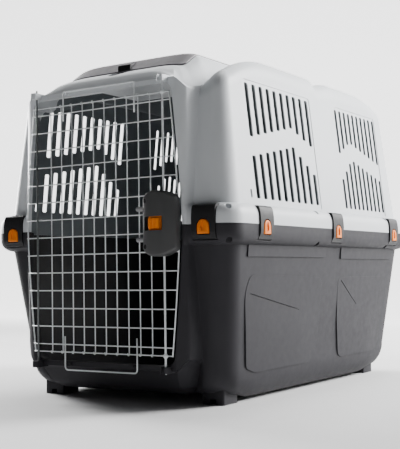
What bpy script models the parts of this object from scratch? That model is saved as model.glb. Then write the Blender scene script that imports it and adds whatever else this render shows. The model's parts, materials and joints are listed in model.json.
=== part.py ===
"""Pet travel crate: a lower tub and an upper shell joined by a rolled belt and lever clips,
a wire door with a two-bolt latch, and a storage tray with a lid in the roof.

Metres, +Z up, the door faces -Y. The crate stands on z = 0."""

import math

import bmesh
import bpy
from mathutils import Matrix, Vector

# Shells
BODY_LENGTH = 0.92
BODY_WIDTH = 0.63
PARTING_Z = 0.36
FLOOR_Z = 0.015
FLOOR_FRONT_RISE = 0.007
FLOOR_FRONT_BLEND = 0.045
BELLY_Z = 0.0065
BELLY_MARGIN = 0.008
BELLY_BLEND = 0.035
WALL = 0.0035
ROOF_WALL = 0.005
CLEARANCE = 0.0003
PARTING_GAP = 0.0004
UPPER_DRAFT = 0.11
LOWER_DRAFT = 0.12
CORNER_RADIUS = 0.045
BELT_PROUD = 0.021
BELT_HALF = 0.041
FLOOR_INSET = 0.068
FLOOR_FRONT_INSET = 0.039
BOTTOM_EDGE_Z = 0.078

# Roof: heights are given as drops from the top of the lid, falls as drops over a length
HUMP_Z = 0.733
HUMP_INSET = 0.158
HUMP_SLOPE = 0.67
HUMP_SLOPE_LENGTH = 0.0593
HUMP_SLOPE_BLEND = 0.020
HUMP_CROWN = 0.009
CROWN_POWER = 8
FORE_SLOPE = 0.28
FORE_LENGTH = 0.058
FORE_BEND = 0.0054
RIDGE_DROP = 0.016
RIDGE_INSET = 0.055
RIDGE_FRONT_LENGTH = 0.26
RIDGE_FRONT_FALL = 0.0973
REAR_FALL_LENGTH = 0.22
RIDGE_REAR_FALL = 0.0547
HUMP_REAR_FALL = 0.0581
VALLEY_REAR_FALL = 0.0242
VALLEY_INSET = 0.120
VALLEY_DROP = 0.051
VALLEY_FRONT_DROP = 0.099
VALLEY_START = 0.06
VALLEY_LENGTH = 0.16
SHOULDER_HEIGHT = 0.045
NOTCH_Y = 0.002
NOTCH_LENGTH = 0.100
NOTCH_DEPTH = 0.013
SPINE_FRONT_SHARE = 0.2065
SPINE_REAR_SHARE = 0.185

# Door frame moulded into the shells
PORTAL_INSET = 0.104
PORTAL_PROUD = 0.006
PORTAL_BEVEL = 0.014
PORTAL_SPLAY = 0.0025
PORTAL_CREST = 0.030
PORTAL_CORNER_DROP = 0.022
PORTAL_MARGIN = 0.006
OPENING_INSET = 0.1115
OPENING_EDGE = 0.002
OPENING_TAPER = 0.0225
OPENING_CORNER = 0.020
SILL_Z = 0.0843
LINTEL_DROP = 0.0897
LIP_HEIGHT = 0.010
RIM_THICKNESS = 0.003
RIM_DEPTH = 0.013

# Vents: end margin of a panel, pitch, slot width, number and wave of its columns
FRONT_VENT_MARGIN = 0.144
FRONT_VENT_PITCH = 0.030
FRONT_VENT_WIDTH = 0.013
FRONT_VENT_COLUMNS = 10
FRONT_VENT_PEAK = 6.0
REAR_VENT_MARGIN = 0.124
REAR_VENT_PITCH = 0.025
REAR_VENT_WIDTH = 0.0105
REAR_VENT_COLUMNS = 10
REAR_VENT_PEAK = 2.5
VENT_TOP_MARGIN = 0.062
VENT_BOTTOM_MARGIN = 0.013
VENT_BAND_SHARE = 0.689
VENT_BAND = 0.042

# Feet
FOOT_INSET = 0.079
FOOT_WIDTH = 0.052
FOOT_DEPTH = 0.054
FOOT_TOP = 0.060
FOOT_FRONT_INSET = 0.085
FOOT_REAR_INSET = 0.0955
WHEEL_SLOT_WIDTH = 0.014
WHEEL_SLOT_HEIGHT = 0.011
WHEEL_SLOT_BACK = 0.010

# Door
WIRE = 0.0032
WIRE_LAYER = 0.0024
DOOR_STANDOFF = 0.0021
HORIZONTAL_PITCH = 0.03754
HORIZONTAL_MARGIN = 0.010
VERTICAL_PITCH = 0.0291
VERTICAL_COUNT = 10
SIDE_WIRE_CLEARANCE = 0.0043
DOOR_TOP_CLEARANCE = 0.0196
DOOR_BOTTOM_CLEARANCE = 0.0197
ROD_RADIUS = 0.0022
ROD_INSET = 0.0367
ROD_RUNNING = 0.0005
ROD_TIP = 0.016
HINGE_ROD_REACH = 0.020
GUIDE_RADIUS = 0.0046
GUIDE_HEIGHT = 0.006
LOOP_HALF = 0.0941
LOOP_DROP = 0.032
LOOP_TOP_REACH = 0.0104
LOOP_BOTTOM_REACH = 0.0173
BOSS_HALF = 0.0072
BOSS_HEIGHT = 0.013
BOSS_DEPTH = 0.016
BOSS_FRONT = 0.0115
STUD_X = 0.082
STUD_RADIUS = 0.003
STUD_LENGTH = 0.006
STUD_OFFSET = 0.005

# Latch: places across are given as distances from the bolts, to the left (in) or right (out)
LATCH_IN = 0.0432
LATCH_OUT = 0.0367
LATCH_LOW_Z = 0.298
LATCH_HIGH_Z = 0.4274
LATCH_DEPTH = 0.0307
LATCH_EDGE_DEPTH = 0.0140
LATCH_END_RISE = 0.0145
LATCH_WALL = 0.003
WINDOW_IN = 0.0323
WINDOW_OUT = 0.0137
WINDOW_HEIGHT = 0.0276
SLIDER_IN = 0.0078
SLIDER_WIDTH = 0.026
SLIDER_HEIGHT = 0.020
SLIDER_RECESS = 0.0038
SLIDER_RIB = 0.003
SLIDER_FLANGE = 0.002
BOLT_TRAVEL = 0.008
PLATE_IN = 0.0268
PLATE_OUT = 0.0182
PLATE_HALF_HEIGHT = 0.038
PLATE_THICKNESS = 0.002
CAM_PIN_RADIUS = 0.0015
CAM_PIN_OFFSET = 0.032
WEB_THICKNESS = 0.0024
SPRING_TURNS = 6
SPRING_WIRE = 0.0005
SPRING_RADIUS = 0.0016
SCREW_IN = 0.0316
SCREW_SPREAD = 0.045
SCREW_SHANK = 0.0015
SCREW_HEAD = 0.0048
SCREW_HEAD_HEIGHT = 0.0025
SCREW_SINK = 0.018
PEG_RADIUS = 0.0048
PEG_LENGTH = 0.026
PEG_SEAT = 0.006
PEG_SPREAD = 0.0305
BACK_IN = 0.0383
BACK_OUT = 0.0277
BACK_HALF_HEIGHT = 0.057
BACK_THICKNESS = 0.003

# Clips, measured from the belt's outer face (in) and from the parting plane (up or down)
CLIP_WIDTH = 0.054
CLIP_FACE_OUT = 0.0035
CLIP_TOP = 0.0372
CLIP_LEDGE_Z = 0.0330
CLIP_BACK_IN = 0.0106
CLIP_HOOK_IN = 0.0165
CLIP_PIVOT_IN = 0.0062
CLIP_PIVOT_DOWN = 0.0265
CLIP_HEEL_RADIUS = 0.0044
CLIP_SIDE_GAP = 0.0006
CLIP_SWING_GAP = 0.0006
CLIP_HEEL_GAP = 0.0013
TRUNNION_RADIUS = 0.0015
TRUNNION_REACH = 0.0035
BUTTON_WIDTH = 0.027
BUTTON_HEIGHT = 0.034
BUTTON_DOWN = 0.0225
BUTTON_PROUD = 0.0007
BUTTON_THICKNESS = 0.0045
BUTTON_TRAVEL = 0.002
SIDE_CLIP_SHARE = 0.364
SIDE_CLIP_Y = 0.005
FRONT_CLIP_INSET = 0.0652
REAR_CLIP_INSET = 0.145

# Lid, tray and catch in the roof
LID_SIDE_MARGIN = 0.002
LID_LENGTH = 0.256
LID_FRONT_INSET = 0.080
LID_PROUD = 0.002
LID_CORNER = 0.014
LID_THICKNESS = 0.0032
LID_EDGE_GAP = 0.0010
TRAY_SIDE_MARGIN = 0.013
TRAY_FRONT_MARGIN = 0.0265
TRAY_REAR_MARGIN = 0.016
TRAY_FRONT_WALL = 0.010
TRAY_DEPTH = 0.043
HINGE_X = 0.090
KNUCKLE_RADIUS = 0.004
KNUCKLE_LENGTH = 0.024
HINGE_PIN_RADIUS = 0.0015
EAR_WIDTH = 0.008
HINGE_SETBACK = 0.0048
CATCH_HALF = 0.0165
CATCH_LENGTH = 0.040
CATCH_THICKNESS = 0.0012
CATCH_BAR_HALF = 0.0085
CATCH_TAB = ((0.0, 0.0), (0.0095, 0.0), (0.0118, 0.0085), (0.0100, 0.0100), (0.0080, 0.0095))
CATCH_TRAVEL = 0.006
CATCH_STEM_HALF = 0.006
CATCH_STEM_LENGTH = 0.008
CATCH_FOOT_HALF = 0.010
CATCH_FOOT_LENGTH = 0.012
CATCH_FOOT_HEIGHT = 0.0036
CATCH_TONGUE = 0.006
CATCH_TONGUE_HEIGHT = 0.0018

# Values that several pieces share
HALF_WIDTH = BODY_WIDTH / 2
HALF_LENGTH = BODY_LENGTH / 2
SHELL_HALF_WIDTH = HALF_WIDTH - BELT_PROUD
SHELL_HALF_LENGTH = HALF_LENGTH - BELT_PROUD
RIDGE_Z = HUMP_Z - RIDGE_DROP
LINTEL_Z = HUMP_Z - LINTEL_DROP
TRAY_FLOOR_Z = HUMP_Z - TRAY_DEPTH
HUMP_HALF = HALF_WIDTH - HUMP_INSET
VALLEY_HALF = HALF_WIDTH - VALLEY_INSET
PORTAL_HALF = HALF_WIDTH - PORTAL_INSET
OPENING_HALF = HALF_WIDTH - OPENING_INSET
FOOT_HALF_SPREAD = HALF_WIDTH - FOOT_INSET
ROD_X = OPENING_HALF - ROD_INSET
PORTAL_Y = -HALF_LENGTH - PORTAL_PROUD
CREST_Y = -HALF_LENGTH + PORTAL_CREST
VERTICAL_Y = PORTAL_Y - DOOR_STANDOFF
HORIZONTAL_Y = VERTICAL_Y - WIRE_LAYER
HINGE_Y = HORIZONTAL_Y - 0.6 * (ROD_RADIUS + WIRE / 2)
BOLT_Y = HORIZONTAL_Y - WIRE / 2 - ROD_RUNNING - ROD_RADIUS
LATCH_BACK_Y = HORIZONTAL_Y - WIRE / 2 - CLEARANCE
LATCH_FRONT_Y = LATCH_BACK_Y - LATCH_DEPTH
LATCH_LEFT = ROD_X - LATCH_IN
LATCH_RIGHT = ROD_X + LATCH_OUT
LATCH_X = (LATCH_LEFT + LATCH_RIGHT) / 2
SLIDER_X = ROD_X - SLIDER_IN
SCREW_X = ROD_X - SCREW_IN
LATCH_Z = (LATCH_LOW_Z + LATCH_HIGH_Z) / 2
BACK_Y = VERTICAL_Y + WIRE / 2 + CLEARANCE
PLATE_Y = BOLT_Y - ROD_RADIUS - 0.004
DOOR_TOP_Z = LINTEL_Z - DOOR_TOP_CLEARANCE
DOOR_BOTTOM_Z = SILL_Z + DOOR_BOTTOM_CLEARANCE
LID_FRONT_Y = -HALF_LENGTH + LID_FRONT_INSET
LID_HINGE_Y = LID_FRONT_Y + LID_LENGTH
LID_HALF = HUMP_HALF - LID_SIDE_MARGIN
TRAY_HALF = LID_HALF - TRAY_SIDE_MARGIN
SLOPE_END_Y = LID_FRONT_Y + HUMP_SLOPE_LENGTH
SLOPE_BLEND_Y = SLOPE_END_Y - HUMP_SLOPE_BLEND


# Scene and solid helpers

def clear_scene():
    for item in list(bpy.data.objects):
        bpy.data.objects.remove(item, do_unlink=True)


def material(name, colour, roughness, metallic=0.0):
    found = bpy.data.materials.get(name)
    if found:
        return found
    made = bpy.data.materials.new(name)
    made.use_nodes = True
    shader = made.node_tree.nodes["Principled BSDF"]
    shader.inputs["Base Color"].default_value = (*colour, 1.0)
    shader.inputs["Roughness"].default_value = roughness
    shader.inputs["Metallic"].default_value = metallic
    made.diffuse_color = (*colour, 1.0)
    return made


def finish_part(item, name, finish, origin=(0.0, 0.0, 0.0), angle=35):
    """Names a solid, gives it its material and puts its origin on its axis."""
    item.name = name
    item.data.name = name
    item.data.materials.clear()
    item.data.materials.append(finish)
    item.data.transform(Matrix.Translation(-Vector(origin)))
    item.location = origin
    item.data.shade_smooth()
    item.data.set_sharp_from_angle(angle=math.radians(angle))
    return item


def carry(parent, *children):
    """Parents pieces that were placed in the crate's frame."""
    for child in children:
        child.location = child.location - parent.location
        child.parent = parent


def from_bmesh(data, name="solid"):
    """Object from a closed bmesh, with its faces turned outward."""
    bmesh.ops.recalc_face_normals(data, faces=data.faces)
    mesh = bpy.data.meshes.new(name)
    data.to_mesh(mesh)
    data.free()
    made = bpy.data.objects.new(name, mesh)
    bpy.context.collection.objects.link(made)
    return made


def combine(target, tool, operation):
    """Joins, cuts or intersects a solid with another one, which is used up."""
    step = target.modifiers.new("combine", "BOOLEAN")
    step.object = tool
    step.operation = operation
    step.solver = "EXACT"
    bpy.context.view_layer.update()
    graph = bpy.context.evaluated_depsgraph_get()
    result = bpy.data.meshes.new_from_object(target.evaluated_get(graph))
    target.modifiers.clear()
    old = target.data
    target.data = result
    bpy.data.meshes.remove(old)
    bpy.data.objects.remove(tool, do_unlink=True)
    return target


def add(target, *tools):
    for tool in tools:
        combine(target, tool, "UNION")
    return target


def cut(target, *tools):
    for tool in tools:
        combine(target, tool, "DIFFERENCE")
    return target


def common(target, tool):
    return combine(target, tool, "INTERSECT")


def boxes(corners, places=(Matrix.Identity(4),)):
    """Separate boxes in one mesh, each from its low and high corner, repeated at each place."""
    data = bmesh.new()
    for place in places:
        for low, high in corners:
            for vertex in bmesh.ops.create_cube(data, size=1.0)["verts"]:
                corner_point = [low[a] if vertex.co[a] < 0 else high[a] for a in range(3)]
                vertex.co = place @ Vector(corner_point)
    return from_bmesh(data)


def box(low, high):
    return boxes([(low, high)])


def rods(parts, sides=12, places=(Matrix.Identity(4),)):
    """Separate round bars in one mesh, each from its two ends and its radius."""
    data = bmesh.new()
    for place in places:
        for start, end, radius in parts:
            start, end = place @ Vector(start), place @ Vector(end)
            along = end - start
            turn = along.to_track_quat("Z", "Y").to_matrix().to_4x4()
            bmesh.ops.create_cone(
                data, cap_ends=True, segments=sides, radius1=radius, radius2=radius,
                depth=along.length, matrix=Matrix.Translation((start + end) / 2) @ turn,
            )
    return from_bmesh(data)


def rod(start, end, radius, sides=12):
    return rods([(start, end, radius)], sides)


def prism(outline, axis, low, high):
    """Solid with a 2-D outline drawn across the axis (0, 1 or 2), from low to high along it."""
    data = bmesh.new()
    rings = []
    for level in (low, high):
        ring = []
        for first, second in outline:
            point = [first, second]
            point.insert(axis, level)
            ring.append(data.verts.new(point))
        rings.append(ring)
    data.faces.new(rings[0])
    data.faces.new(list(reversed(rings[1])))
    join_rings(data, rings[0], rings[1])
    return from_bmesh(data)


def join_rings(data, first, second):
    count = len(first)
    for index in range(count):
        after = (index + 1) % count
        data.faces.new((first[index], first[after], second[after], second[index]))


def merge_flat(data):
    """Triangles where a face bends, one face where neighbours lie in one plane."""
    bmesh.ops.triangulate(data, faces=data.faces)
    bmesh.ops.dissolve_limit(data, angle_limit=0.0005, verts=data.verts, edges=data.edges)
    return data


def arc(centre_x, centre_y, radius, start, end, steps):
    """Points on an arc, angles in degrees."""
    points = []
    for step in range(steps + 1):
        angle = math.radians(start + (end - start) * step / steps)
        points.append((centre_x + radius * math.cos(angle), centre_y + radius * math.sin(angle)))
    return points


def mirrored(points):
    """Whole outline from its right half."""
    return points + [(-x, y) for x, y in reversed(points)]


def rounded_rectangle(half, low, high, radius):
    side = arc(half - radius, low + radius, radius, -90, 0, 4)
    side += arc(half - radius, high - radius, radius, 0, 90, 4)
    return mirrored(side)


def smoothstep(value):
    value = min(max(value, 0.0), 1.0)
    return value * value * (3 - 2 * value)


def mix(first, second, share):
    return first + (second - first) * share


# Form of the roof

def rear_fall(y, amount):
    behind = max(0.0, y - HALF_LENGTH + REAR_FALL_LENGTH) / REAR_FALL_LENGTH
    return amount * behind ** 2


def ridge_z(y):
    """Crest of the side ridges: level in the middle, falling to both ends, with a dip half way."""
    ahead = max(0.0, -HALF_LENGTH + RIDGE_FRONT_LENGTH - y) / RIDGE_FRONT_LENGTH
    along = (y - NOTCH_Y) / NOTCH_LENGTH
    dip = 0.0
    if 0.0 < along < 1.0:
        dip = NOTCH_DEPTH * min(along / 0.12, 1.0) * (1.0 - smoothstep((along - 0.12) / 0.88))
    return RIDGE_Z - RIDGE_FRONT_FALL * ahead ** 2 - rear_fall(y, RIDGE_REAR_FALL) - dip


def slope_drop(y):
    """Drop of the middle of the roof: gentle ahead of the lid, steep under its front face."""
    depth = SLOPE_END_Y - max(y, LID_FRONT_Y)
    if depth <= 0.0:
        return 0.0
    if depth < HUMP_SLOPE_BLEND:
        return HUMP_SLOPE * depth * depth / (2 * HUMP_SLOPE_BLEND)
    ahead = max(0.0, LID_FRONT_Y - y)
    fore = FORE_SLOPE * ahead + FORE_BEND * (ahead / FORE_LENGTH) ** 2
    return HUMP_SLOPE * (depth - HUMP_SLOPE_BLEND / 2) + fore


def hump_z(x, y):
    crown = HUMP_CROWN * (x / HUMP_HALF) ** CROWN_POWER
    return HUMP_Z - slope_drop(y) - rear_fall(y, HUMP_REAR_FALL) - crown


def valley_z(y):
    share = smoothstep((y + HALF_LENGTH - VALLEY_START) / VALLEY_LENGTH)
    drop = mix(VALLEY_FRONT_DROP, VALLEY_DROP, share)
    return HUMP_Z - drop - rear_fall(y, VALLEY_REAR_FALL)


def roof_z(x, y):
    """Height of the roof's outer face."""
    across = abs(x)
    ridge_half = SHELL_HALF_WIDTH - RIDGE_INSET
    if across <= VALLEY_HALF:
        share = smoothstep((across - HUMP_HALF) / (VALLEY_HALF - HUMP_HALF))
        return mix(hump_z(x, y), valley_z(y), share)
    share = smoothstep((across - VALLEY_HALF) / (ridge_half - VALLEY_HALF))
    return mix(valley_z(y), ridge_z(y), share)


# Plan of the shells

FRAME_SHARES = (0.0, 0.40, 0.80, 0.90, 1.0)
FRAME_POINTS = len(FRAME_SHARES) + 1
FRONT_SHARES = (0.84, 0.66, 0.45, 0.20)
NOTCH_SHARES = (0.0, 0.12, 0.5, 1.0)
REAR_SHARES = (0.48, 0.64, 0.82)
CORNER_STEPS = 4


def edge_z(sign):
    return LINTEL_Z if sign > 0 else SILL_Z


def opening_half(z):
    """Half width of the doorway at height z."""
    reach = LINTEL_Z - PARTING_Z if z > PARTING_Z else PARTING_Z - SILL_Z
    share = min(abs(z - PARTING_Z) / reach, 1.0)
    return OPENING_HALF - OPENING_TAPER * share ** 1.4


def plan(inset, radius, z, wall=0.0, frame_y=PORTAL_Y):
    """Right half of a shell's plan, front centre to rear centre.

    It is drawn in by inset, and by a further wall for the inner face. The first FRAME_POINTS
    points are the door frame, whose face is at frame_y."""
    half_x = SHELL_HALF_WIDTH - inset
    half_y = SHELL_HALF_LENGTH - inset
    frame_half = min(PORTAL_HALF, half_x - radius - PORTAL_MARGIN) - wall
    edge = min(opening_half(z) + OPENING_EDGE, frame_half - PORTAL_MARGIN)
    half_x -= wall
    half_y -= wall
    front = frame_y + wall
    bevel = min(PORTAL_BEVEL, 0.6 * (-half_y - front))
    points = [(edge * share, front) for share in FRAME_SHARES]
    points.append((frame_half, front + bevel))
    points.append((frame_half + PORTAL_SPLAY, -half_y))
    straight = half_y - radius
    points += arc(half_x - radius, -straight, radius, -90, 0, CORNER_STEPS)
    points += [(half_x, -straight * share) for share in FRONT_SHARES]
    points += [(half_x, NOTCH_Y + share * NOTCH_LENGTH) for share in NOTCH_SHARES]
    points += [(half_x, straight * share) for share in REAR_SHARES]
    points += arc(half_x - radius, straight, radius, 0, 90, CORNER_STEPS)
    points += [(half_x * share, half_y) for share in (0.55, 0.25, 0.0)]
    return points


def loft(rings):
    """Closed solid through rings of 3-D points, lowest first, each the right half of a ring."""
    data = bmesh.new()
    levels = []
    for ring in rings:
        whole = ring + [(-x, y, z) for x, y, z in reversed(ring[1:-1])]
        levels.append([data.verts.new(point) for point in whole])
    for lower, upper in zip(levels, levels[1:]):
        join_rings(data, lower, upper)
    for level in (levels[0], levels[-1]):
        middle = data.verts.new((0.0, 0.0, level[0].co.z))
        for index, vertex in enumerate(level):
            data.faces.new((middle, vertex, level[index - 1]))
    return from_bmesh(merge_flat(data))


def level_ring(points, z):
    return [(x, y, z) for x, y in points]


BELT_SECTION = ((1.0, -0.05), (0.975, 0.45), (0.81, 0.74), (0.45, 0.92), (0.0, 1.0))


def belt_rings(sign):
    """Rings of the rolled half belt, which starts a little past the parting plane."""
    rings = []
    for proud, share in BELT_SECTION:
        z = PARTING_Z + sign * share * BELT_HALF
        rings.append(level_ring(plan(-proud * BELT_PROUD, CORNER_RADIUS, z), z))
    return rings


def trim_at_parting(shell, sign):
    """Cuts a shell level, so that half of the parting gap lies on each side of the plane."""
    face = PARTING_Z + sign * PARTING_GAP / 2
    low, high = sorted((face, face - sign * 0.1))
    cut(shell, box((-1, -1, low), (1, 1, high)))


# Upper shell

def upper_plan(z, wall):
    inset = max(UPPER_DRAFT * (z - PARTING_Z - BELT_HALF), 0.0)
    return plan(inset, CORNER_RADIUS - 0.5 * inset, z, wall)


def lip_z(sign, index):
    """Edge of the door frame above the lintel or below the sill, cut back at its outer corner."""
    reach = LIP_HEIGHT - (PORTAL_CORNER_DROP if index == FRAME_POINTS - 1 else 0.0)
    return edge_z(sign) + sign * reach


FRAME_OVER = ((0.0, 0.0), (0.24, 0.04), (0.42, 0.38), (0.72, 0.78), (1.0, 1.0))


def shoulder_rings(wall, drop):
    """Rings that round the wall over into the roof, with the door frame's own slope."""
    inset = RIDGE_INSET
    crest = plan(inset, CORNER_RADIUS - 0.5 * inset, LINTEL_Z, wall, CREST_Y)
    rings = []
    for step, (frame_in, frame_up) in enumerate(FRAME_OVER):
        angle = math.pi / 2 * step / 4
        ring = []
        for index, (x, y) in enumerate(crest):
            top = roof_z(x, y)
            low = upper_plan(top - SHOULDER_HEIGHT, wall)[index]
            if index < FRAME_POINTS:
                inward, up, base = frame_in, frame_up, lip_z(1, index)
            else:
                inward, up, base = 1 - math.cos(angle), math.sin(angle), top - SHOULDER_HEIGHT
            ring.append((mix(low[0], x, inward), mix(low[1], y, inward), mix(base, top, up) - drop))
        rings.append(ring)
    return rings


SPINE_SHARES = (0.35, 0.70, 0.92)


def roof_steps():
    """Shares of the way in from the crest: at the bends of the front slope, then to the spine."""
    spine_front = -SPINE_FRONT_SHARE * BODY_LENGTH
    bends = (LID_FRONT_Y, SLOPE_BLEND_Y, (SLOPE_BLEND_Y + SLOPE_END_Y) / 2, SLOPE_END_Y)
    steps = [(y - CREST_Y) / (spine_front - CREST_Y) for y in bends]
    between = [steps[0] / 2, (steps[0] + steps[1]) / 2]
    return sorted(steps + between + [mix(steps[-1], 1.0, share) for share in SPINE_SHARES])


def roof_rings(crest, drop):
    """Rings from the ridge line to the middle of the roof."""
    spine_front, spine_rear = -SPINE_FRONT_SHARE * BODY_LENGTH, SPINE_REAR_SHARE * BODY_LENGTH
    rings = []
    for step in roof_steps():
        ring = []
        for x, y, _ in crest:
            inner_x = mix(x, 0.0, step)
            inner_y = mix(y, min(max(y, spine_front), spine_rear), step)
            ring.append((inner_x, inner_y, roof_z(inner_x, inner_y) - drop))
        rings.append(ring)
    return rings


def top_outer():
    middle = (PARTING_Z + LINTEL_Z) / 2
    rings = belt_rings(1) + [level_ring(upper_plan(middle, 0.0), middle)]
    rings += shoulder_rings(0.0, 0.0)
    return loft(rings + roof_rings(rings[-1], 0.0))


def top_inner():
    heights = (PARTING_Z - 0.02, PARTING_Z + BELT_HALF, (PARTING_Z + LINTEL_Z) / 2)
    rings = [level_ring(upper_plan(z, WALL), z) for z in heights]
    rings += shoulder_rings(WALL, ROOF_WALL)
    return loft(rings + roof_rings(rings[-1], ROOF_WALL))


# Lower shell

def lower_ring(z, wall):
    inset = max(LOWER_DRAFT * (PARTING_Z - BELT_HALF - z), 0.0)
    return level_ring(plan(inset, CORNER_RADIUS + 0.2 * inset, z, wall), z)


FRAME_UNDER = ((0.0, 0.0), (0.36, 0.24), (0.59, 0.62), (0.76, 0.95), (1.0, 1.0))


def floor_z(y):
    """Underside of the floor, which is raised where the feet are."""
    (_, front), (rear, _) = foot_spans()
    share = smoothstep((y - front - BELLY_MARGIN) / BELLY_BLEND)
    share *= smoothstep((rear - BELLY_MARGIN - y) / BELLY_BLEND)
    rise = FLOOR_FRONT_RISE * smoothstep((front - y) / FLOOR_FRONT_BLEND)
    return mix(FLOOR_Z + rise, BELLY_Z, share)


def floor_rings(wall, lift):
    """Rings of the floor and of the round that leads up into the wall."""
    floor = plan(FLOOR_INSET, CORNER_RADIUS + 0.2 * FLOOR_INSET, SILL_Z, wall,
                 -SHELL_HALF_LENGTH + FLOOR_FRONT_INSET)
    rim = lower_ring(BOTTOM_EDGE_Z, wall)
    rings = []
    for step, (frame_out, frame_up) in enumerate(FRAME_UNDER):
        angle = math.pi / 2 * step / 4
        ring = []
        for index, ((x, y), top) in enumerate(zip(floor, rim)):
            out, up, end = math.sin(angle), 1 - math.cos(angle), BOTTOM_EDGE_Z
            if index < FRAME_POINTS:
                out, up, end = frame_out, frame_up, lip_z(-1, index)
            z = mix(floor_z(y) + lift, end, up)
            ring.append((mix(x, top[0], out), mix(y, top[1], out), z))
        rings.append(ring)
    return rings


def bottom_outer():
    rings = floor_rings(0.0, 0.0) + [lower_ring((SILL_Z + PARTING_Z - BELT_HALF) / 2, 0.0)]
    return loft(rings + list(reversed(belt_rings(-1))))


def bottom_inner():
    rings = floor_rings(WALL, WALL)
    heights = ((SILL_Z + PARTING_Z - BELT_HALF) / 2, PARTING_Z - BELT_HALF, PARTING_Z + 0.02)
    return loft(rings + [lower_ring(z, WALL) for z in heights])


# Door frame features of both shells

def doorway(sign, grow, start, near, far):
    """Upper (sign 1) or lower (sign -1) half of the doorway as a solid, grown outward."""
    reach = LINTEL_Z - PARTING_Z if sign > 0 else PARTING_Z - SILL_Z
    last = 1 - OPENING_CORNER / reach
    right = []
    for step in range(6):
        z = PARTING_Z + sign * reach * mix(start / reach, last, step / 5)
        right.append((opening_half(z) + grow, z))
    centre_x = opening_half(right[-1][1]) - OPENING_CORNER
    for x, rise in arc(centre_x, 0.0, OPENING_CORNER + grow, 0, 90, 4)[1:]:
        right.append((x, right[5][1] + sign * rise))
    return prism(mirrored(right), 1, near, far)


def boss_box(sign, x):
    """Block that carries the rod at x, above the lintel or below the sill."""
    edge = LINTEL_Z + 0.001 if sign > 0 else SILL_Z - 0.001
    low, high = sorted((edge, edge + sign * BOSS_HEIGHT))
    return (x - BOSS_HALF, BOLT_Y - BOSS_FRONT, low), (x + BOSS_HALF, PORTAL_Y + BOSS_DEPTH, high)


def frame_solids(shell, sign):
    """Bosses for the rods and studs inside the stop loops, joined to a solid shell."""
    add(shell, boxes([boss_box(sign, ROD_X), boss_box(sign, -ROD_X)]))
    z = edge_z(sign) + sign * STUD_OFFSET
    studs = [((x, PORTAL_Y + 0.002, z), (x, PORTAL_Y - STUD_LENGTH, z), STUD_RADIUS)
             for x in (-STUD_X, STUD_X)]
    add(shell, rods(studs, 8))


def frame_cuts(shell, sign):
    """Rim round the doorway, the doorway itself, and the holes of the rods."""
    add(shell, doorway(sign, RIM_THICKNESS, -0.001, PORTAL_Y + 0.001, PORTAL_Y + RIM_DEPTH))
    cut(shell, doorway(sign, 0.0, -0.02, PORTAL_Y - 0.1, PORTAL_Y + 0.1))
    z = edge_z(sign)
    radius = ROD_RADIUS + CLEARANCE
    holes = [((-ROD_X, HINGE_Y, z - 0.03), (-ROD_X, HINGE_Y, z + 0.03), radius),
             ((ROD_X, BOLT_Y, z - 0.03), (ROD_X, BOLT_Y, z + 0.03), radius + CLEARANCE)]
    cut(shell, rods(holes, 12))
    slot = radius + 2 * CLEARANCE
    cut(shell, box((ROD_X - slot, BOLT_Y - 0.02, z - 0.03), (ROD_X + slot, BOLT_Y, z + 0.03)))


# Clip places and pockets

def clip_places():
    """Names and places of the clips: the belt's outer face at the parting plane, facing local -Y."""
    front_x = HALF_WIDTH - FRONT_CLIP_INSET
    rear_x = HALF_WIDTH - REAR_CLIP_INSET
    spots = [("front_left", -front_x, -HALF_LENGTH, 0), ("front_right", front_x, -HALF_LENGTH, 0),
             ("rear_left", -rear_x, HALF_LENGTH, 180), ("rear_right", rear_x, HALF_LENGTH, 180)]
    for index, along in enumerate(("front", "middle", "rear")):
        y = SIDE_CLIP_Y + (index - 1) * SIDE_CLIP_SHARE * BODY_LENGTH
        spots.append((f"left_{along}", -HALF_WIDTH, y, -90))
        spots.append((f"right_{along}", HALF_WIDTH, y, 90))
    places = {}
    for name, x, y, turn in spots:
        place = Matrix.Translation((x, y, PARTING_Z)) @ Matrix.Rotation(math.radians(turn), 4, "Z")
        places[name] = place
    return places


def cut_clip_pockets(shell, upper):
    places = list(clip_places().values())
    half = CLIP_WIDTH / 2 + CLIP_SIDE_GAP
    depth = CLIP_BACK_IN + CLIP_SWING_GAP
    low = -CLIP_PIVOT_DOWN - CLIP_HEEL_RADIUS - CLIP_HEEL_GAP
    pocket = ((-half, -0.03, low), (half, depth, 0.06))
    cut(shell, boxes([pocket], places))
    if upper:
        slot = ((-half, CLIP_BACK_IN, CLIP_LEDGE_Z), (half, CLIP_HOOK_IN + 0.0015, 0.06))
        cut(shell, boxes([slot], places))
        return
    reach = CLIP_WIDTH / 2 + TRUNNION_REACH + 2 * CLEARANCE
    hole = ((-reach, CLIP_PIVOT_IN, -CLIP_PIVOT_DOWN), (reach, CLIP_PIVOT_IN, -CLIP_PIVOT_DOWN),
            TRUNNION_RADIUS + CLEARANCE)
    cut(shell, rods([hole], 12, places))


# Vents, feet, tray

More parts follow.
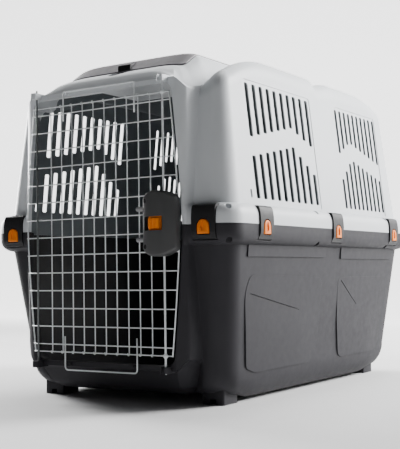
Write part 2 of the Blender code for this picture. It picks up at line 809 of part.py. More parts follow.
def vent_slots():
    """Slots of both side panels, each column split by a band that rises and falls."""
    floor = PARTING_Z + BELT_HALF + VENT_BOTTOM_MARGIN
    top = RIDGE_Z - VENT_TOP_MARGIN
    peak = mix(floor, top, VENT_BAND_SHARE)
    front = (-HALF_LENGTH + FRONT_VENT_MARGIN, FRONT_VENT_PITCH, FRONT_VENT_WIDTH,
             FRONT_VENT_COLUMNS, FRONT_VENT_PEAK, (0.0063, 0.0105, 0.0059, 0.018))
    rear_start = HALF_LENGTH - REAR_VENT_MARGIN - (REAR_VENT_COLUMNS - 1) * REAR_VENT_PITCH
    rear = (rear_start, REAR_VENT_PITCH, REAR_VENT_WIDTH,
            REAR_VENT_COLUMNS, REAR_VENT_PEAK, (0.0125, 0.0063, 0.021, 0.0063))
    slots = []
    for start, pitch, width, columns, middle, falls in (front, rear):
        for index in range(columns):
            y = start + index * pitch
            away = abs(index - middle)
            side = 0 if index < middle else 1
            upper_low = peak - away * falls[side]
            lower_high = peak - VENT_BAND - away * falls[2 + side]
            slots.append(((-1, y - width / 2, upper_low), (1, y + width / 2, top)))
            slots.append(((-1, y - width / 2, floor), (1, y + width / 2, lower_high)))
    return boxes(slots)


def foot_spans():
    """Front and rear y of the front and of the rear foot."""
    front = -HALF_LENGTH + FOOT_FRONT_INSET
    rear = HALF_LENGTH - FOOT_REAR_INSET
    return (front, front + FOOT_DEPTH), (rear - FOOT_DEPTH, rear)


def feet():
    blocks = []
    for y_low, y_high in foot_spans():
        for side in (-1, 1):
            xs = sorted((side * FOOT_HALF_SPREAD, side * (FOOT_HALF_SPREAD - FOOT_WIDTH)))
            blocks.append(((xs[0], y_low, 0.0), (xs[1], y_high, FOOT_TOP)))
    return boxes(blocks)


def wheel_slots():
    """Sockets in the feet, open below and towards the nearer end of the crate."""
    blocks = []
    centre = FOOT_HALF_SPREAD - FOOT_WIDTH / 2
    (front, front_back), (rear_front, rear) = foot_spans()
    for y_low, y_high in ((front - 0.01, front_back - WHEEL_SLOT_BACK),
                          (rear_front + WHEEL_SLOT_BACK, rear + 0.01)):
        for x in (-centre, centre):
            low = (x - WHEEL_SLOT_WIDTH / 2, y_low, -0.01)
            blocks.append((low, (x + WHEEL_SLOT_WIDTH / 2, y_high, WHEEL_SLOT_HEIGHT)))
    return boxes(blocks)


def roof_slab(half, y_low, y_high, low, high):
    """Solid between two heights given as functions of x and y."""
    blend = [mix(SLOPE_BLEND_Y, SLOPE_END_Y, share) for share in (0.0, 0.35, 0.7, 1.0)]
    kink = [LID_FRONT_Y] if y_low < LID_FRONT_Y else []
    ys = [y_low, *kink, *blend, (SLOPE_END_Y + y_high) / 2, y_high]
    right = [half * share for share in (0.4, 0.65, 0.85, 1.0)]
    xs = [-x for x in reversed(right)] + [0.0] + right
    data = bmesh.new()
    layers = []
    for surface in (low, high):
        layers.append([[data.verts.new((x, y, surface(x, y))) for x in xs] for y in ys])
    for row in range(len(ys) - 1):
        for column in range(len(xs) - 1):
            for layer in layers:
                data.faces.new((layer[row][column], layer[row][column + 1],
                                layer[row + 1][column + 1], layer[row + 1][column]))
    rims = []
    for layer in layers:
        rim = layer[0] + [row[-1] for row in layer[1:]]
        rim += list(reversed(layer[-1][:-1]))
        rims.append(rim + [row[0] for row in reversed(layer[1:-1])])
    join_rings(data, rims[0], rims[1])
    return from_bmesh(merge_flat(data))


def offset_roof(distance):
    return lambda x, y: roof_z(x, y) + distance


def tray_span(grow):
    front = LID_FRONT_Y + TRAY_FRONT_MARGIN - grow
    return front, LID_HINGE_Y - TRAY_REAR_MARGIN + grow


def hinge_z():
    return roof_z(HINGE_X, LID_HINGE_Y)


def ear_reach():
    return KNUCKLE_LENGTH / 2 + CLEARANCE + EAR_WIDTH


def add_tray(shell):
    """Tray walls and floor hung from the roof, with blocks under the lid's hinges."""
    front = LID_FRONT_Y + TRAY_FRONT_MARGIN - TRAY_FRONT_WALL
    rear = tray_span(WALL)[1]
    add(shell, roof_slab(TRAY_HALF + WALL, front, rear, lambda x, y: TRAY_FLOOR_Z - WALL,
                         offset_roof(-0.45 * ROOF_WALL)))
    reach = ear_reach()
    z = hinge_z()
    blocks = []
    for x in (-HINGE_X, HINGE_X):
        low = (x - reach, rear - 0.001, z - 0.014)
        blocks.append((low, (x + reach, LID_HINGE_Y + 0.010, z - 0.4 * ROOF_WALL)))
    add(shell, boxes(blocks))
    bars = [((x - reach, LID_HINGE_Y, z), (x + reach, LID_HINGE_Y, z), KNUCKLE_RADIUS)
            for x in (-HINGE_X, HINGE_X)]
    add(shell, rods(bars, 12))


def cut_tray(shell):
    """Rebate for the lid, the tray's pocket, the hinge gaps and the catch's keeper."""
    rear = LID_HINGE_Y - HINGE_SETBACK + LID_EDGE_GAP
    half = LID_HALF + LID_EDGE_GAP
    front = LID_FRONT_Y - LID_EDGE_GAP
    depth = LID_THICKNESS + CLEARANCE - LID_PROUD
    rebate = roof_slab(half, front, rear, offset_roof(-depth), offset_roof(0.03))
    outline = rounded_rectangle(half, front, rear, LID_CORNER + LID_EDGE_GAP)
    cut(shell, common(rebate, prism(outline, 2, HUMP_Z - 0.2, HUMP_Z + 0.2)))
    pocket_front, pocket_rear = tray_span(0.0)
    cut(shell, box((-TRAY_HALF, pocket_front, TRAY_FLOOR_Z), (TRAY_HALF, pocket_rear, HUMP_Z + 0.1)))
    z = hinge_z()
    swing = KNUCKLE_RADIUS + 2 * CLEARANCE
    half_gap = KNUCKLE_LENGTH / 2 + CLEARANCE
    gaps = []
    for x in (-HINGE_X, HINGE_X):
        low = (x - half_gap, LID_HINGE_Y - swing - 0.006, z - swing)
        gaps.append((low, (x + half_gap, LID_HINGE_Y + swing, z + 0.02)))
    cut(shell, boxes(gaps))
    reach = ear_reach() - 0.0015
    cut(shell, rods([((x - reach, LID_HINGE_Y, z), (x + reach, LID_HINGE_Y, z),
                      HINGE_PIN_RADIUS + CLEARANCE) for x in (-HINGE_X, HINGE_X)], 12))
    cut(shell, slope_boxes([catch_keeper()]))


def make_top_shell(finish):
    shell = top_outer()
    frame_solids(shell, 1)
    cut(shell, top_inner())
    add_tray(shell)
    frame_cuts(shell, 1)
    cut(shell, vent_slots())
    cut_clip_pockets(shell, True)
    cut_tray(shell)
    trim_at_parting(shell, 1)
    return finish_part(shell, "top_shell", finish, angle=28)


def make_bottom_shell(finish):
    shell = bottom_outer()
    add(shell, feet())
    frame_solids(shell, -1)
    cut(shell, bottom_inner())
    cut(shell, wheel_slots())
    frame_cuts(shell, -1)
    cut_clip_pockets(shell, False)
    trim_at_parting(shell, -1)
    return finish_part(shell, "bottom_shell", finish, angle=28)


# Lid, its pins and its catch

def slope_frame():
    """Place of the catch: on the lid's front slope, local +Y up the slope and +Z off it."""
    turn = Matrix.Rotation(math.atan(HUMP_SLOPE), 4, "X")
    return Matrix.Translation((0.0, LID_FRONT_Y, roof_z(0.0, LID_FRONT_Y) + LID_PROUD)) @ turn


def slope_boxes(corners):
    return boxes(corners, [slope_frame()])


def catch_stem_span():
    high = CATCH_LENGTH
    return high - CATCH_STEM_LENGTH, high


def catch_levels():
    """Heights off the slope: plate foot, lid's inner face, foot's top, foot's underside."""
    inner = -LID_THICKNESS * math.cos(math.atan(HUMP_SLOPE))
    return CLEARANCE, inner, inner - CLEARANCE, inner - CLEARANCE - CATCH_FOOT_HEIGHT


def catch_keeper():
    """Blind slot in the tray's front wall that the tongue slides into."""
    start = catch_stem_span()[0] - (CATCH_FOOT_LENGTH - CATCH_STEM_LENGTH) / 2
    under = catch_levels()[3]
    half = CATCH_FOOT_HALF + 2 * CLEARANCE
    return ((-half, start - CATCH_TONGUE - 0.001, under - CLEARANCE),
            (half, start + 0.02, under + CATCH_TONGUE_HEIGHT + CLEARANCE))


def make_lid(finish):
    rear = LID_HINGE_Y - HINGE_SETBACK
    lid = roof_slab(LID_HALF, LID_FRONT_Y, rear, offset_roof(LID_PROUD - LID_THICKNESS),
                    offset_roof(LID_PROUD))
    outline = rounded_rectangle(LID_HALF, LID_FRONT_Y, rear, LID_CORNER)
    common(lid, prism(outline, 2, HUMP_Z - 0.2, HUMP_Z + 0.2))
    z = hinge_z()
    half = KNUCKLE_LENGTH / 2
    arms = []
    bars = []
    for x in (-HINGE_X, HINGE_X):
        arms.append(((x - half, rear - 0.002, z - 0.8 * LID_THICKNESS), (x + half, LID_HINGE_Y, z)))
        bars.append(((x - half, LID_HINGE_Y, z), (x + half, LID_HINGE_Y, z), KNUCKLE_RADIUS))
    add(lid, add(rods(bars, 12), boxes(arms)))
    cut(lid, rods([((x - 0.03, LID_HINGE_Y, z), (x + 0.03, LID_HINGE_Y, z),
                    HINGE_PIN_RADIUS + CLEARANCE) for x in (-HINGE_X, HINGE_X)], 12))
    low, high = catch_stem_span()
    half = CATCH_STEM_HALF + CLEARANCE
    slot = ((-half, low - CLEARANCE, -0.02), (half, high + CATCH_TRAVEL + CLEARANCE, 0.02))
    cut(lid, slope_boxes([slot]))
    return finish_part(lid, "storage_lid", finish, (0.0, LID_HINGE_Y, z))


def make_lid_pins(finish):
    reach = ear_reach() - 0.0015 - CLEARANCE
    z = hinge_z()
    pins = []
    for name, x in (("lid_pin_left", -HINGE_X), ("lid_pin_right", HINGE_X)):
        pin = rod((x - reach, LID_HINGE_Y, z), (x + reach, LID_HINGE_Y, z), HINGE_PIN_RADIUS, 10)
        pins.append(finish_part(pin, name, finish, (x, LID_HINGE_Y, z)))
    return pins


def make_lid_catch(finish):
    """Upright finger tab on a sliding bar, with a stem through the lid and a tongue under it."""
    face, _, foot_top, foot_low = catch_levels()
    low, high = catch_stem_span()
    bar = ((-CATCH_BAR_HALF, 0.001, face), (CATCH_BAR_HALF, CATCH_LENGTH, face + CATCH_THICKNESS))
    plate = slope_boxes([bar])
    tab = prism([(y, z + face) for y, z in CATCH_TAB], 0, -CATCH_HALF, CATCH_HALF)
    tab.data.transform(slope_frame())
    add(plate, tab)
    middle = (low + high) / 2
    foot = (middle - CATCH_FOOT_LENGTH / 2, middle + CATCH_FOOT_LENGTH / 2)
    stem = ((-CATCH_STEM_HALF, low, foot_low + 0.001), (CATCH_STEM_HALF, high, face + 0.001))
    block = ((-CATCH_FOOT_HALF, foot[0], foot_low), (CATCH_FOOT_HALF, foot[1], foot_top))
    tongue = ((-CATCH_FOOT_HALF, foot[0] - CATCH_TONGUE, foot_low),
              (CATCH_FOOT_HALF, foot[0] + 0.001, foot_low + CATCH_TONGUE_HEIGHT))
    add(plate, add(slope_boxes([block]), slope_boxes([tongue])), slope_boxes([stem]))
    return finish_part(plate, "lid_catch", finish, tuple(slope_frame().translation))


# Door

def side_x(z):
    return opening_half(z) - SIDE_WIRE_CLEARANCE


def wire_box(start, end):
    """Bar of the wire's thickness along X or Z, with square section."""
    half = WIRE / 2
    low = [min(a, b) - half for a, b in zip(start, end)]
    high = [max(a, b) + half for a, b in zip(start, end)]
    return tuple(low), tuple(high)


def horizontal_heights():
    span = DOOR_TOP_Z - DOOR_BOTTOM_Z
    gaps = int((span - 2 * HORIZONTAL_MARGIN) / HORIZONTAL_PITCH)
    first = (DOOR_TOP_Z + DOOR_BOTTOM_Z - gaps * HORIZONTAL_PITCH) / 2
    rows = [first + index * HORIZONTAL_PITCH for index in range(gaps + 1)]
    return [DOOR_BOTTOM_Z] + rows + [DOOR_TOP_Z]


def side_wire(sign):
    """Outline of a bowed side wire, across the door."""
    inner, outer = [], []
    for step in range(13):
        z = mix(DOOR_BOTTOM_Z - WIRE / 2, DOOR_TOP_Z + WIRE / 2, step / 12)
        inner.append((sign * (side_x(z) - WIRE / 2), z))
        outer.append((sign * (side_x(z) + WIRE / 2), z))
    return prism(inner + outer[::-1], 1, VERTICAL_Y - WIRE / 2, VERTICAL_Y + WIRE / 2)


def stop_loop(sign):
    """Bent wire that laps over the frame above the lintel or below the sill."""
    reach = LOOP_TOP_REACH if sign > 0 else LOOP_BOTTOM_REACH
    end = edge_z(sign) + sign * reach
    root = (DOOR_TOP_Z if sign > 0 else DOOR_BOTTOM_Z) - sign * LOOP_DROP
    half = WIRE / 2
    outer, inner = LOOP_HALF + half, LOOP_HALF - half
    right = [(inner, root), (outer, root), (outer, end + sign * half)]
    left = [(-x, z) for x, z in reversed(right)]
    outline = right + left + [(-inner, end - sign * half), (inner, end - sign * half)]
    return prism(outline, 1, HORIZONTAL_Y - half, HORIZONTAL_Y + half)


def make_door(finish):
    rows = horizontal_heights()
    bars = [wire_box((-side_x(z), HORIZONTAL_Y, z), (side_x(z), HORIZONTAL_Y, z)) for z in rows]
    door = boxes(bars)
    columns = [(index - (VERTICAL_COUNT - 1) / 2) * VERTICAL_PITCH for index in range(VERTICAL_COUNT)]
    add(door, boxes([wire_box((x, VERTICAL_Y, rows[0]), (x, VERTICAL_Y, rows[-1])) for x in columns]))
    add(door, side_wire(-1), side_wire(1), stop_loop(1), stop_loop(-1))
    hinge = ((-ROD_X, HINGE_Y, SILL_Z - HINGE_ROD_REACH), (-ROD_X, HINGE_Y, LINTEL_Z + HINGE_ROD_REACH))
    add(door, rod(*hinge, ROD_RADIUS, 10))
    guides = [((ROD_X, BOLT_Y, z - GUIDE_HEIGHT / 2), (ROD_X, BOLT_Y, z + GUIDE_HEIGHT / 2), GUIDE_RADIUS)
              for z in (rows[0], rows[-1])]
    add(door, rods(guides, 12))
    cut(door, rods([((x, y, z - 0.01), (x, y, z + 0.01), ROD_RADIUS + CLEARANCE + 0.0001)
                    for (x, y, z) in ((ROD_X, BOLT_Y, rows[0]), (ROD_X, BOLT_Y, rows[-1]))], 12))
    return finish_part(door, "door_grille", finish, (-ROD_X, HINGE_Y, PARTING_Z))


# Latch

def latch_form(shrink, back):
    """Crowned housing form, drawn in by shrink: a rounded outline and a round front."""
    full = (LATCH_RIGHT - LATCH_LEFT) / 2
    end_radius = (full ** 2 + LATCH_END_RISE ** 2) / (2 * LATCH_END_RISE)
    crown = LATCH_DEPTH - LATCH_EDGE_DEPTH
    crown_radius = (full ** 2 + crown ** 2) / (2 * crown)
    half = full - shrink
    offsets = [half * (1 - step / 5) for step in range(11)]
    top, front = [], []
    for dx in offsets:
        rise = math.sqrt((end_radius - shrink) ** 2 - dx ** 2)
        top.append((LATCH_X + dx, LATCH_HIGH_Z - end_radius + rise))
        sag = math.sqrt((crown_radius - shrink) ** 2 - dx ** 2)
        front.append((LATCH_X + dx, LATCH_FRONT_Y + crown_radius - sag))
    bottom = [(x, 2 * LATCH_Z - z) for x, z in reversed(top)]
    body = prism(top + bottom, 1, LATCH_FRONT_Y - 0.01, back)
    ends = [(LATCH_X - half, back + 0.01), (LATCH_X + half, back + 0.01)]
    return common(body, prism(front + ends, 2, LATCH_LOW_Z - 0.01, LATCH_HIGH_Z + 0.01))


def screw_spots():
    return [(SCREW_X, LATCH_Z + SCREW_SPREAD), (SCREW_X, LATCH_Z - SCREW_SPREAD)]


def peg_spots():
    y = LATCH_BACK_Y - PEG_RADIUS - 2 * CLEARANCE
    return [(y, LATCH_Z + PEG_SPREAD), (y, LATCH_Z - PEG_SPREAD)]


def make_latch_cover(finish):
    cover = latch_form(0.0, LATCH_BACK_Y)
    cut(cover, latch_form(LATCH_WALL, LATCH_BACK_Y + 0.01))
    seat = LATCH_BACK_Y - SCREW_SINK
    columns = rods([((x, seat - 0.002, z), (x, LATCH_BACK_Y, z), SCREW_HEAD + 0.0018)
                    for x, z in screw_spots()], 14)
    add(cover, common(columns, latch_form(0.5 * LATCH_WALL, LATCH_BACK_Y)))
    web = ((ROD_X - 2 * SPRING_RADIUS, BOLT_Y - 0.004, LATCH_Z - WEB_THICKNESS / 2),
           (LATCH_RIGHT - 0.4 * LATCH_WALL, LATCH_BACK_Y, LATCH_Z + WEB_THICKNESS / 2))
    add(cover, box(*web))
    half = WINDOW_HEIGHT / 2
    cut(cover, box((ROD_X - WINDOW_IN, LATCH_FRONT_Y - 0.01, LATCH_Z - half),
                   (ROD_X + WINDOW_OUT, PLATE_Y - 0.005, LATCH_Z + half)))
    cut(cover, rods([((x, LATCH_FRONT_Y - 0.02, z), (x, seat, z), SCREW_HEAD + CLEARANCE)
                     for x, z in screw_spots()], 14))
    cut(cover, rods([((x, seat - 0.01, z), (x, 0.0, z), SCREW_SHANK + CLEARANCE)
                     for x, z in screw_spots()], 10))
    cut(cover, rods([((LATCH_LEFT - 0.01, y, z), (LATCH_LEFT + PEG_SEAT, y, z), PEG_RADIUS + CLEARANCE)
                     for y, z in peg_spots()], 12))
    slot = ROD_RADIUS + 2 * CLEARANCE
    for low, high in ((LATCH_HIGH_Z - 0.012, LATCH_HIGH_Z + 0.01), (LATCH_LOW_Z - 0.01, LATCH_LOW_Z + 0.012)):
        cut(cover, box((ROD_X - slot, BOLT_Y - slot, low), (ROD_X + slot, 0.0, high)))
    return finish_part(cover, "latch_cover", finish, (LATCH_X, LATCH_BACK_Y, LATCH_Z))


def make_latch_back(finish):
    outline = rounded_rectangle((BACK_IN + BACK_OUT) / 2, LATCH_Z - BACK_HALF_HEIGHT,
                                LATCH_Z + BACK_HALF_HEIGHT, 0.008)
    centre = ROD_X + (BACK_OUT - BACK_IN) / 2
    plate = prism([(x + centre, z) for x, z in outline], 1, BACK_Y, BACK_Y + BACK_THICKNESS)
    cut(plate, rods([((x, BACK_Y - 0.01, z), (x, BACK_Y + 0.01, z), SCREW_SHANK + CLEARANCE)
                     for x, z in screw_spots()], 10))
    return finish_part(plate, "latch_back", finish, (centre, BACK_Y, LATCH_Z))


def make_screws(finish):
    screws = []
    seat = LATCH_BACK_Y - SCREW_SINK - CLEARANCE
    for name, (x, z) in zip(("latch_screw_upper", "latch_screw_lower"), screw_spots()):
        head = rod((x, seat - SCREW_HEAD_HEIGHT, z), (x, seat, z), SCREW_HEAD, 14)
        add(head, rod((x, seat - 0.001, z), (x, BACK_Y + BACK_THICKNESS, z), SCREW_SHANK, 8))
        slot = ((x - 0.0035, seat - SCREW_HEAD_HEIGHT - 0.001, z - 0.0006),
                (x + 0.0035, seat - SCREW_HEAD_HEIGHT + 0.001, z + 0.0006))
        cut(head, box(*slot))
        screws.append(finish_part(head, name, finish, (x, seat, z)))
    return screws


def make_pegs(finish):
    pegs = []
    for name, (y, z) in zip(("latch_peg_upper", "latch_peg_lower"), peg_spots()):
        end = LATCH_LEFT + PEG_SEAT - CLEARANCE
        peg = rod((end - PEG_LENGTH, y, z), (end, y, z), PEG_RADIUS, 12)
        pegs.append(finish_part(peg, name, finish, (LATCH_LEFT, y, z)))
    return pegs


def make_latch_slider(finish):
    """Orange block in the window, its flange behind the housing wall and its stem."""
    half_x, half_z = SLIDER_WIDTH / 2, SLIDER_HEIGHT / 2
    face = LATCH_FRONT_Y + SLIDER_RECESS
    flange = LATCH_FRONT_Y + LATCH_WALL + 0.006
    block = box((SLIDER_X - half_x, face, LATCH_Z - half_z),
                (SLIDER_X + half_x, flange + 0.001, LATCH_Z + half_z))
    ribs = []
    for x in (SLIDER_X - 0.5 * half_x, SLIDER_X + 0.5 * half_x):
        ribs.append(((x - 0.0022, face - SLIDER_RIB, LATCH_Z - 0.9 * half_z),
                     (x + 0.0022, face + 0.001, LATCH_Z + 0.9 * half_z)))
    add(block, boxes(ribs))
    rim_z = WINDOW_HEIGHT / 2 + SLIDER_FLANGE
    add(block, box((SLIDER_X - half_x - SLIDER_FLANGE, flange, LATCH_Z - rim_z),
                   (SLIDER_X + half_x + SLIDER_FLANGE, flange + 0.002, LATCH_Z + rim_z)))
    plate_face = PLATE_Y - PLATE_THICKNESS / 2
    add(block, box((SLIDER_X - 0.006, flange + 0.001, LATCH_Z - 0.006),
                   (SLIDER_X + 0.006, plate_face - CLEARANCE, LATCH_Z + 0.006)))
    add(block, box((SLIDER_X - 0.003, plate_face - 0.001, LATCH_Z - 0.003),
                   (SLIDER_X + 0.003, plate_face + PLATE_THICKNESS, LATCH_Z + 0.003)))
    return finish_part(block, "latch_slider", finish, (SLIDER_X, face, LATCH_Z))


def cam_slot(sign):
    """Slanting slot whose walls drive a rod's pin by as much as the slider moves."""
    start = Vector((ROD_X, LATCH_Z + sign * CAM_PIN_OFFSET))
    end = start - Vector((BOLT_TRAVEL, sign * BOLT_TRAVEL))
    radius = CAM_PIN_RADIUS + CLEARANCE
    heading = math.degrees(math.atan2(start.y - end.y, start.x - end.x))
    outline = arc(start.x, start.y, radius, heading - 90, heading + 90, 6)
    outline += arc(end.x, end.y, radius, heading + 90, heading + 270, 6)
    return prism(outline, 1, PLATE_Y - 0.01, PLATE_Y + 0.01)


def make_slide_plate(finish):
    half = PLATE_THICKNESS / 2
    plate = box((ROD_X - PLATE_IN, PLATE_Y - half, LATCH_Z - PLATE_HALF_HEIGHT),
                (ROD_X + PLATE_OUT, PLATE_Y + half, LATCH_Z + PLATE_HALF_HEIGHT))
    cut(plate, cam_slot(1), cam_slot(-1))
    reach = 0.003 + CLEARANCE
    cut(plate, box((SLIDER_X - reach, PLATE_Y - 0.01, LATCH_Z - reach),
                   (SLIDER_X + reach, PLATE_Y + 0.01, LATCH_Z + reach)))
    return finish_part(plate, "latch_slide_plate", finish, (SLIDER_X, PLATE_Y, LATCH_Z))


def bolt_inner_z(sign):
    return LATCH_Z + sign * (CAM_PIN_OFFSET - 2 * CAM_PIN_RADIUS)


def make_bolt(name, sign, finish):
    """Bolt rod with its cam pin, from inside the latch to its keeper."""
    inner = bolt_inner_z(sign)
    tip = edge_z(sign) + sign * ROD_TIP
    bolt = rod((ROD_X, BOLT_Y, inner), (ROD_X, BOLT_Y, tip - sign * 0.002), ROD_RADIUS, 10)
    add(bolt, rod((ROD_X, BOLT_Y, tip - sign * 0.003), (ROD_X, BOLT_Y, tip), 0.8 * ROD_RADIUS, 10))
    pin_z = LATCH_Z + sign * CAM_PIN_OFFSET
    add(bolt, rod((ROD_X, BOLT_Y - 0.001, pin_z), (ROD_X, PLATE_Y - 0.0015, pin_z), CAM_PIN_RADIUS, 8))
    return finish_part(bolt, name, finish, (ROD_X, BOLT_Y, pin_z))


def make_spring(name, sign, finish):
    """Coil spring between the housing's web and the bolt's inner end."""
    start = LATCH_Z + sign * (WEB_THICKNESS / 2 + CLEARANCE + SPRING_WIRE)
    end = bolt_inner_z(sign) - sign * (CLEARANCE + SPRING_WIRE)
    steps = 8
    points = []
    for step in range(SPRING_TURNS * steps + 1):
        angle = 2 * math.pi * step / steps
        share = step / (SPRING_TURNS * steps)
        points.append(Vector((ROD_X + SPRING_RADIUS * math.cos(angle),
                              BOLT_Y + SPRING_RADIUS * math.sin(angle), mix(start, end, share))))
    gaps = [(points[index + steps] - points[index]).length for index in range(len(points) - steps)]
    print(f"{name}: least gap between turns {1000 * (min(gaps) - 2 * SPRING_WIRE):.2f} mm")
    data = bmesh.new()
    rings = []
    for index, point in enumerate(points):
        ahead = points[min(index + 1, len(points) - 1)] - points[max(index - 1, 0)]
        out = Vector((point.x - ROD_X, point.y - BOLT_Y, 0.0)).normalized()
        across = ahead.normalized().cross(out).normalized()
        ring = []
        for corner in range(4):
            angle = math.pi / 2 * corner
            spot = point + SPRING_WIRE * (math.cos(angle) * out + math.sin(angle) * across)
            ring.append(data.verts.new(spot))
        rings.append(ring)
    for first, second in zip(rings, rings[1:]):
        join_rings(data, first, second)
    data.faces.new(rings[0])
    data.faces.new(list(reversed(rings[-1])))
    spring = from_bmesh(data)
    return finish_part(spring, name, finish, (ROD_X, BOLT_Y, LATCH_Z + sign * WEB_THICKNESS / 2))


# Clips

def button_outline(grow):
    """Arch: straight foot, round head, about the clip's middle line."""
    half = BUTTON_WIDTH / 2 + grow
    low = -BUTTON_DOWN - grow + CLIP_PIVOT_DOWN
    head = -BUTTON_DOWN + BUTTON_HEIGHT - BUTTON_WIDTH / 2 + CLIP_PIVOT_DOWN
    return [(-half, low), (half, low)] + arc(0.0, head, half, 0, 180, 8)


def local_y(outward):
    """Local y of a distance out from the belt's face; local origin is the clip's pivot."""
    return -(outward + CLIP_PIVOT_IN)


def make_lever_mesh(finish):
    back = local_y(-CLIP_BACK_IN)
    hook = local_y(-CLIP_HOOK_IN)
    hook_low = CLIP_LEDGE_Z + 2 * CLEARANCE + CLIP_PIVOT_DOWN
    top = CLIP_TOP + CLIP_PIVOT_DOWN
    outline = arc(0.0, 0.0, CLIP_HEEL_RADIUS, 0, -180, 6)
    face = local_y(CLIP_FACE_OUT)
    outline += [(mix(-CLIP_HEEL_RADIUS, face, 0.8), 0.12 * top), (face, 0.30 * top), (face, 0.58 * top),
                (mix(-CLIP_HEEL_RADIUS, face, 0.8), 0.79 * top), (mix(-CLIP_HEEL_RADIUS, face, 0.35), 0.94 * top),
                (-0.5 * CLIP_HEEL_RADIUS, top), (hook, top), (hook, hook_low), (back, hook_low)]
    lever = prism(outline, 0, -CLIP_WIDTH / 2, CLIP_WIDTH / 2)
    reach = CLIP_WIDTH / 2 + TRUNNION_REACH
    add(lever, rod((-reach, 0.0, 0.0), (reach, 0.0, 0.0), TRUNNION_RADIUS, 8))
    floor = local_y(CLIP_FACE_OUT + BUTTON_PROUD - BUTTON_THICKNESS - BUTTON_TRAVEL - CLEARANCE)
    cut(lever, prism(button_outline(CLEARANCE), 1, face - 0.01, floor))
    finish_part(lever, "clip_lever", finish)
    mesh = lever.data
    bpy.data.objects.remove(lever)
    return mesh


def make_button_mesh(finish):
    front = local_y(CLIP_FACE_OUT + BUTTON_PROUD)
    button = prism(button_outline(0.0), 1, front, front + BUTTON_THICKNESS)
    finish_part(button, "clip_button", finish)
    mesh = button.data
    bpy.data.objects.remove(button)
    return mesh


def make_clips(lever_finish, button_finish):
    lever_mesh = make_lever_mesh(lever_finish)
    button_mesh = make_button_mesh(button_finish)
    levers = []
    for name, place in clip_places().items():
        lever = bpy.data.objects.new(f"clip_lever_{name}", lever_mesh)
        button = bpy.data.objects.new(f"clip_button_{name}", button_mesh)
        pivot = Matrix.Translation((0.0, CLIP_PIVOT_IN, -CLIP_PIVOT_DOWN))
        lever.matrix_world = place @ pivot
        button.parent = lever
        for item in (lever, button):
            bpy.context.collection.objects.link(item)
        levers.append(lever)
    return levers


def centre_on_floor(pieces):
    """Carries the crate on an empty, so that its outer box is centred on the origin."""
    bpy.context.view_layer.update()
    corners = []
    for item in bpy.data.objects:
        if item.type == "MESH":
            corners += [item.matrix_world @ vertex.co for vertex in item.data.vertices]
    ys = [point.y for point in corners]
    crate = bpy.data.objects.new("crate", None)
    bpy.context.collection.objects.link(crate)
    crate.location.y = -(min(ys) + max(ys)) / 2
    for item in pieces:
        item.parent = crate


def main():
    clear_scene()
    light_shell = material("light grey shell", (0.62, 0.64, 0.66), 0.45)
    dark_shell = material("dark grey shell", (0.075, 0.075, 0.082), 0.5)
    lid_plastic = material("lid plastic", (0.30, 0.29, 0.32), 0.4)
    black_plastic = material("black plastic", (0.025, 0.025, 0.027), 0.45)
    clip_plastic = material("clip plastic", (0.05, 0.05, 0.055), 0.5)
    latch_plastic = material("latch plastic", (0.04, 0.04, 0.043), 0.4)
    orange = material("orange plastic", (0.85, 0.30, 0.03), 0.4)
    wire = material("zinc wire", (0.72, 0.72, 0.74), 0.3, 1.0)
    steel = material("steel", (0.55, 0.55, 0.57), 0.35, 1.0)
    peg_plastic = material("peg plastic", (0.35, 0.35, 0.37), 0.45)

    top = make_top_shell(light_shell)
    bottom = make_bottom_shell(dark_shell)
    lid = make_lid(lid_plastic)
    catch = make_lid_catch(black_plastic)
    carry(lid, catch)
    door = make_door(wire)
    slider = make_latch_slider(orange)
    plate = make_slide_plate(black_plastic)
    carry(slider, plate)
    bolts = [make_bolt("latch_rod_upper", 1, wire), make_bolt("latch_rod_lower", -1, wire)]
    springs = [make_spring("latch_spring_upper", 1, steel), make_spring("latch_spring_lower", -1, steel)]
    fixed = [make_latch_cover(latch_plastic), make_latch_back(latch_plastic)]
    fixed += make_screws(black_plastic) + make_pegs(peg_plastic)
    carry(door, slider, *bolts, *springs, *fixed)
    clips = make_clips(clip_plastic, orange)
    centre_on_floor([top, bottom, lid, door, *make_lid_pins(steel), *clips])


main()
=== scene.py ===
"""Looks of the pet travel crate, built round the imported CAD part.

Metres, +Z up, the door faces -Y. Shapes are drawn in the CAD source's own frame and then
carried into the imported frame, which lies a little further back."""

import json
import math

import bmesh
import bpy
from mathutils import Matrix, Vector

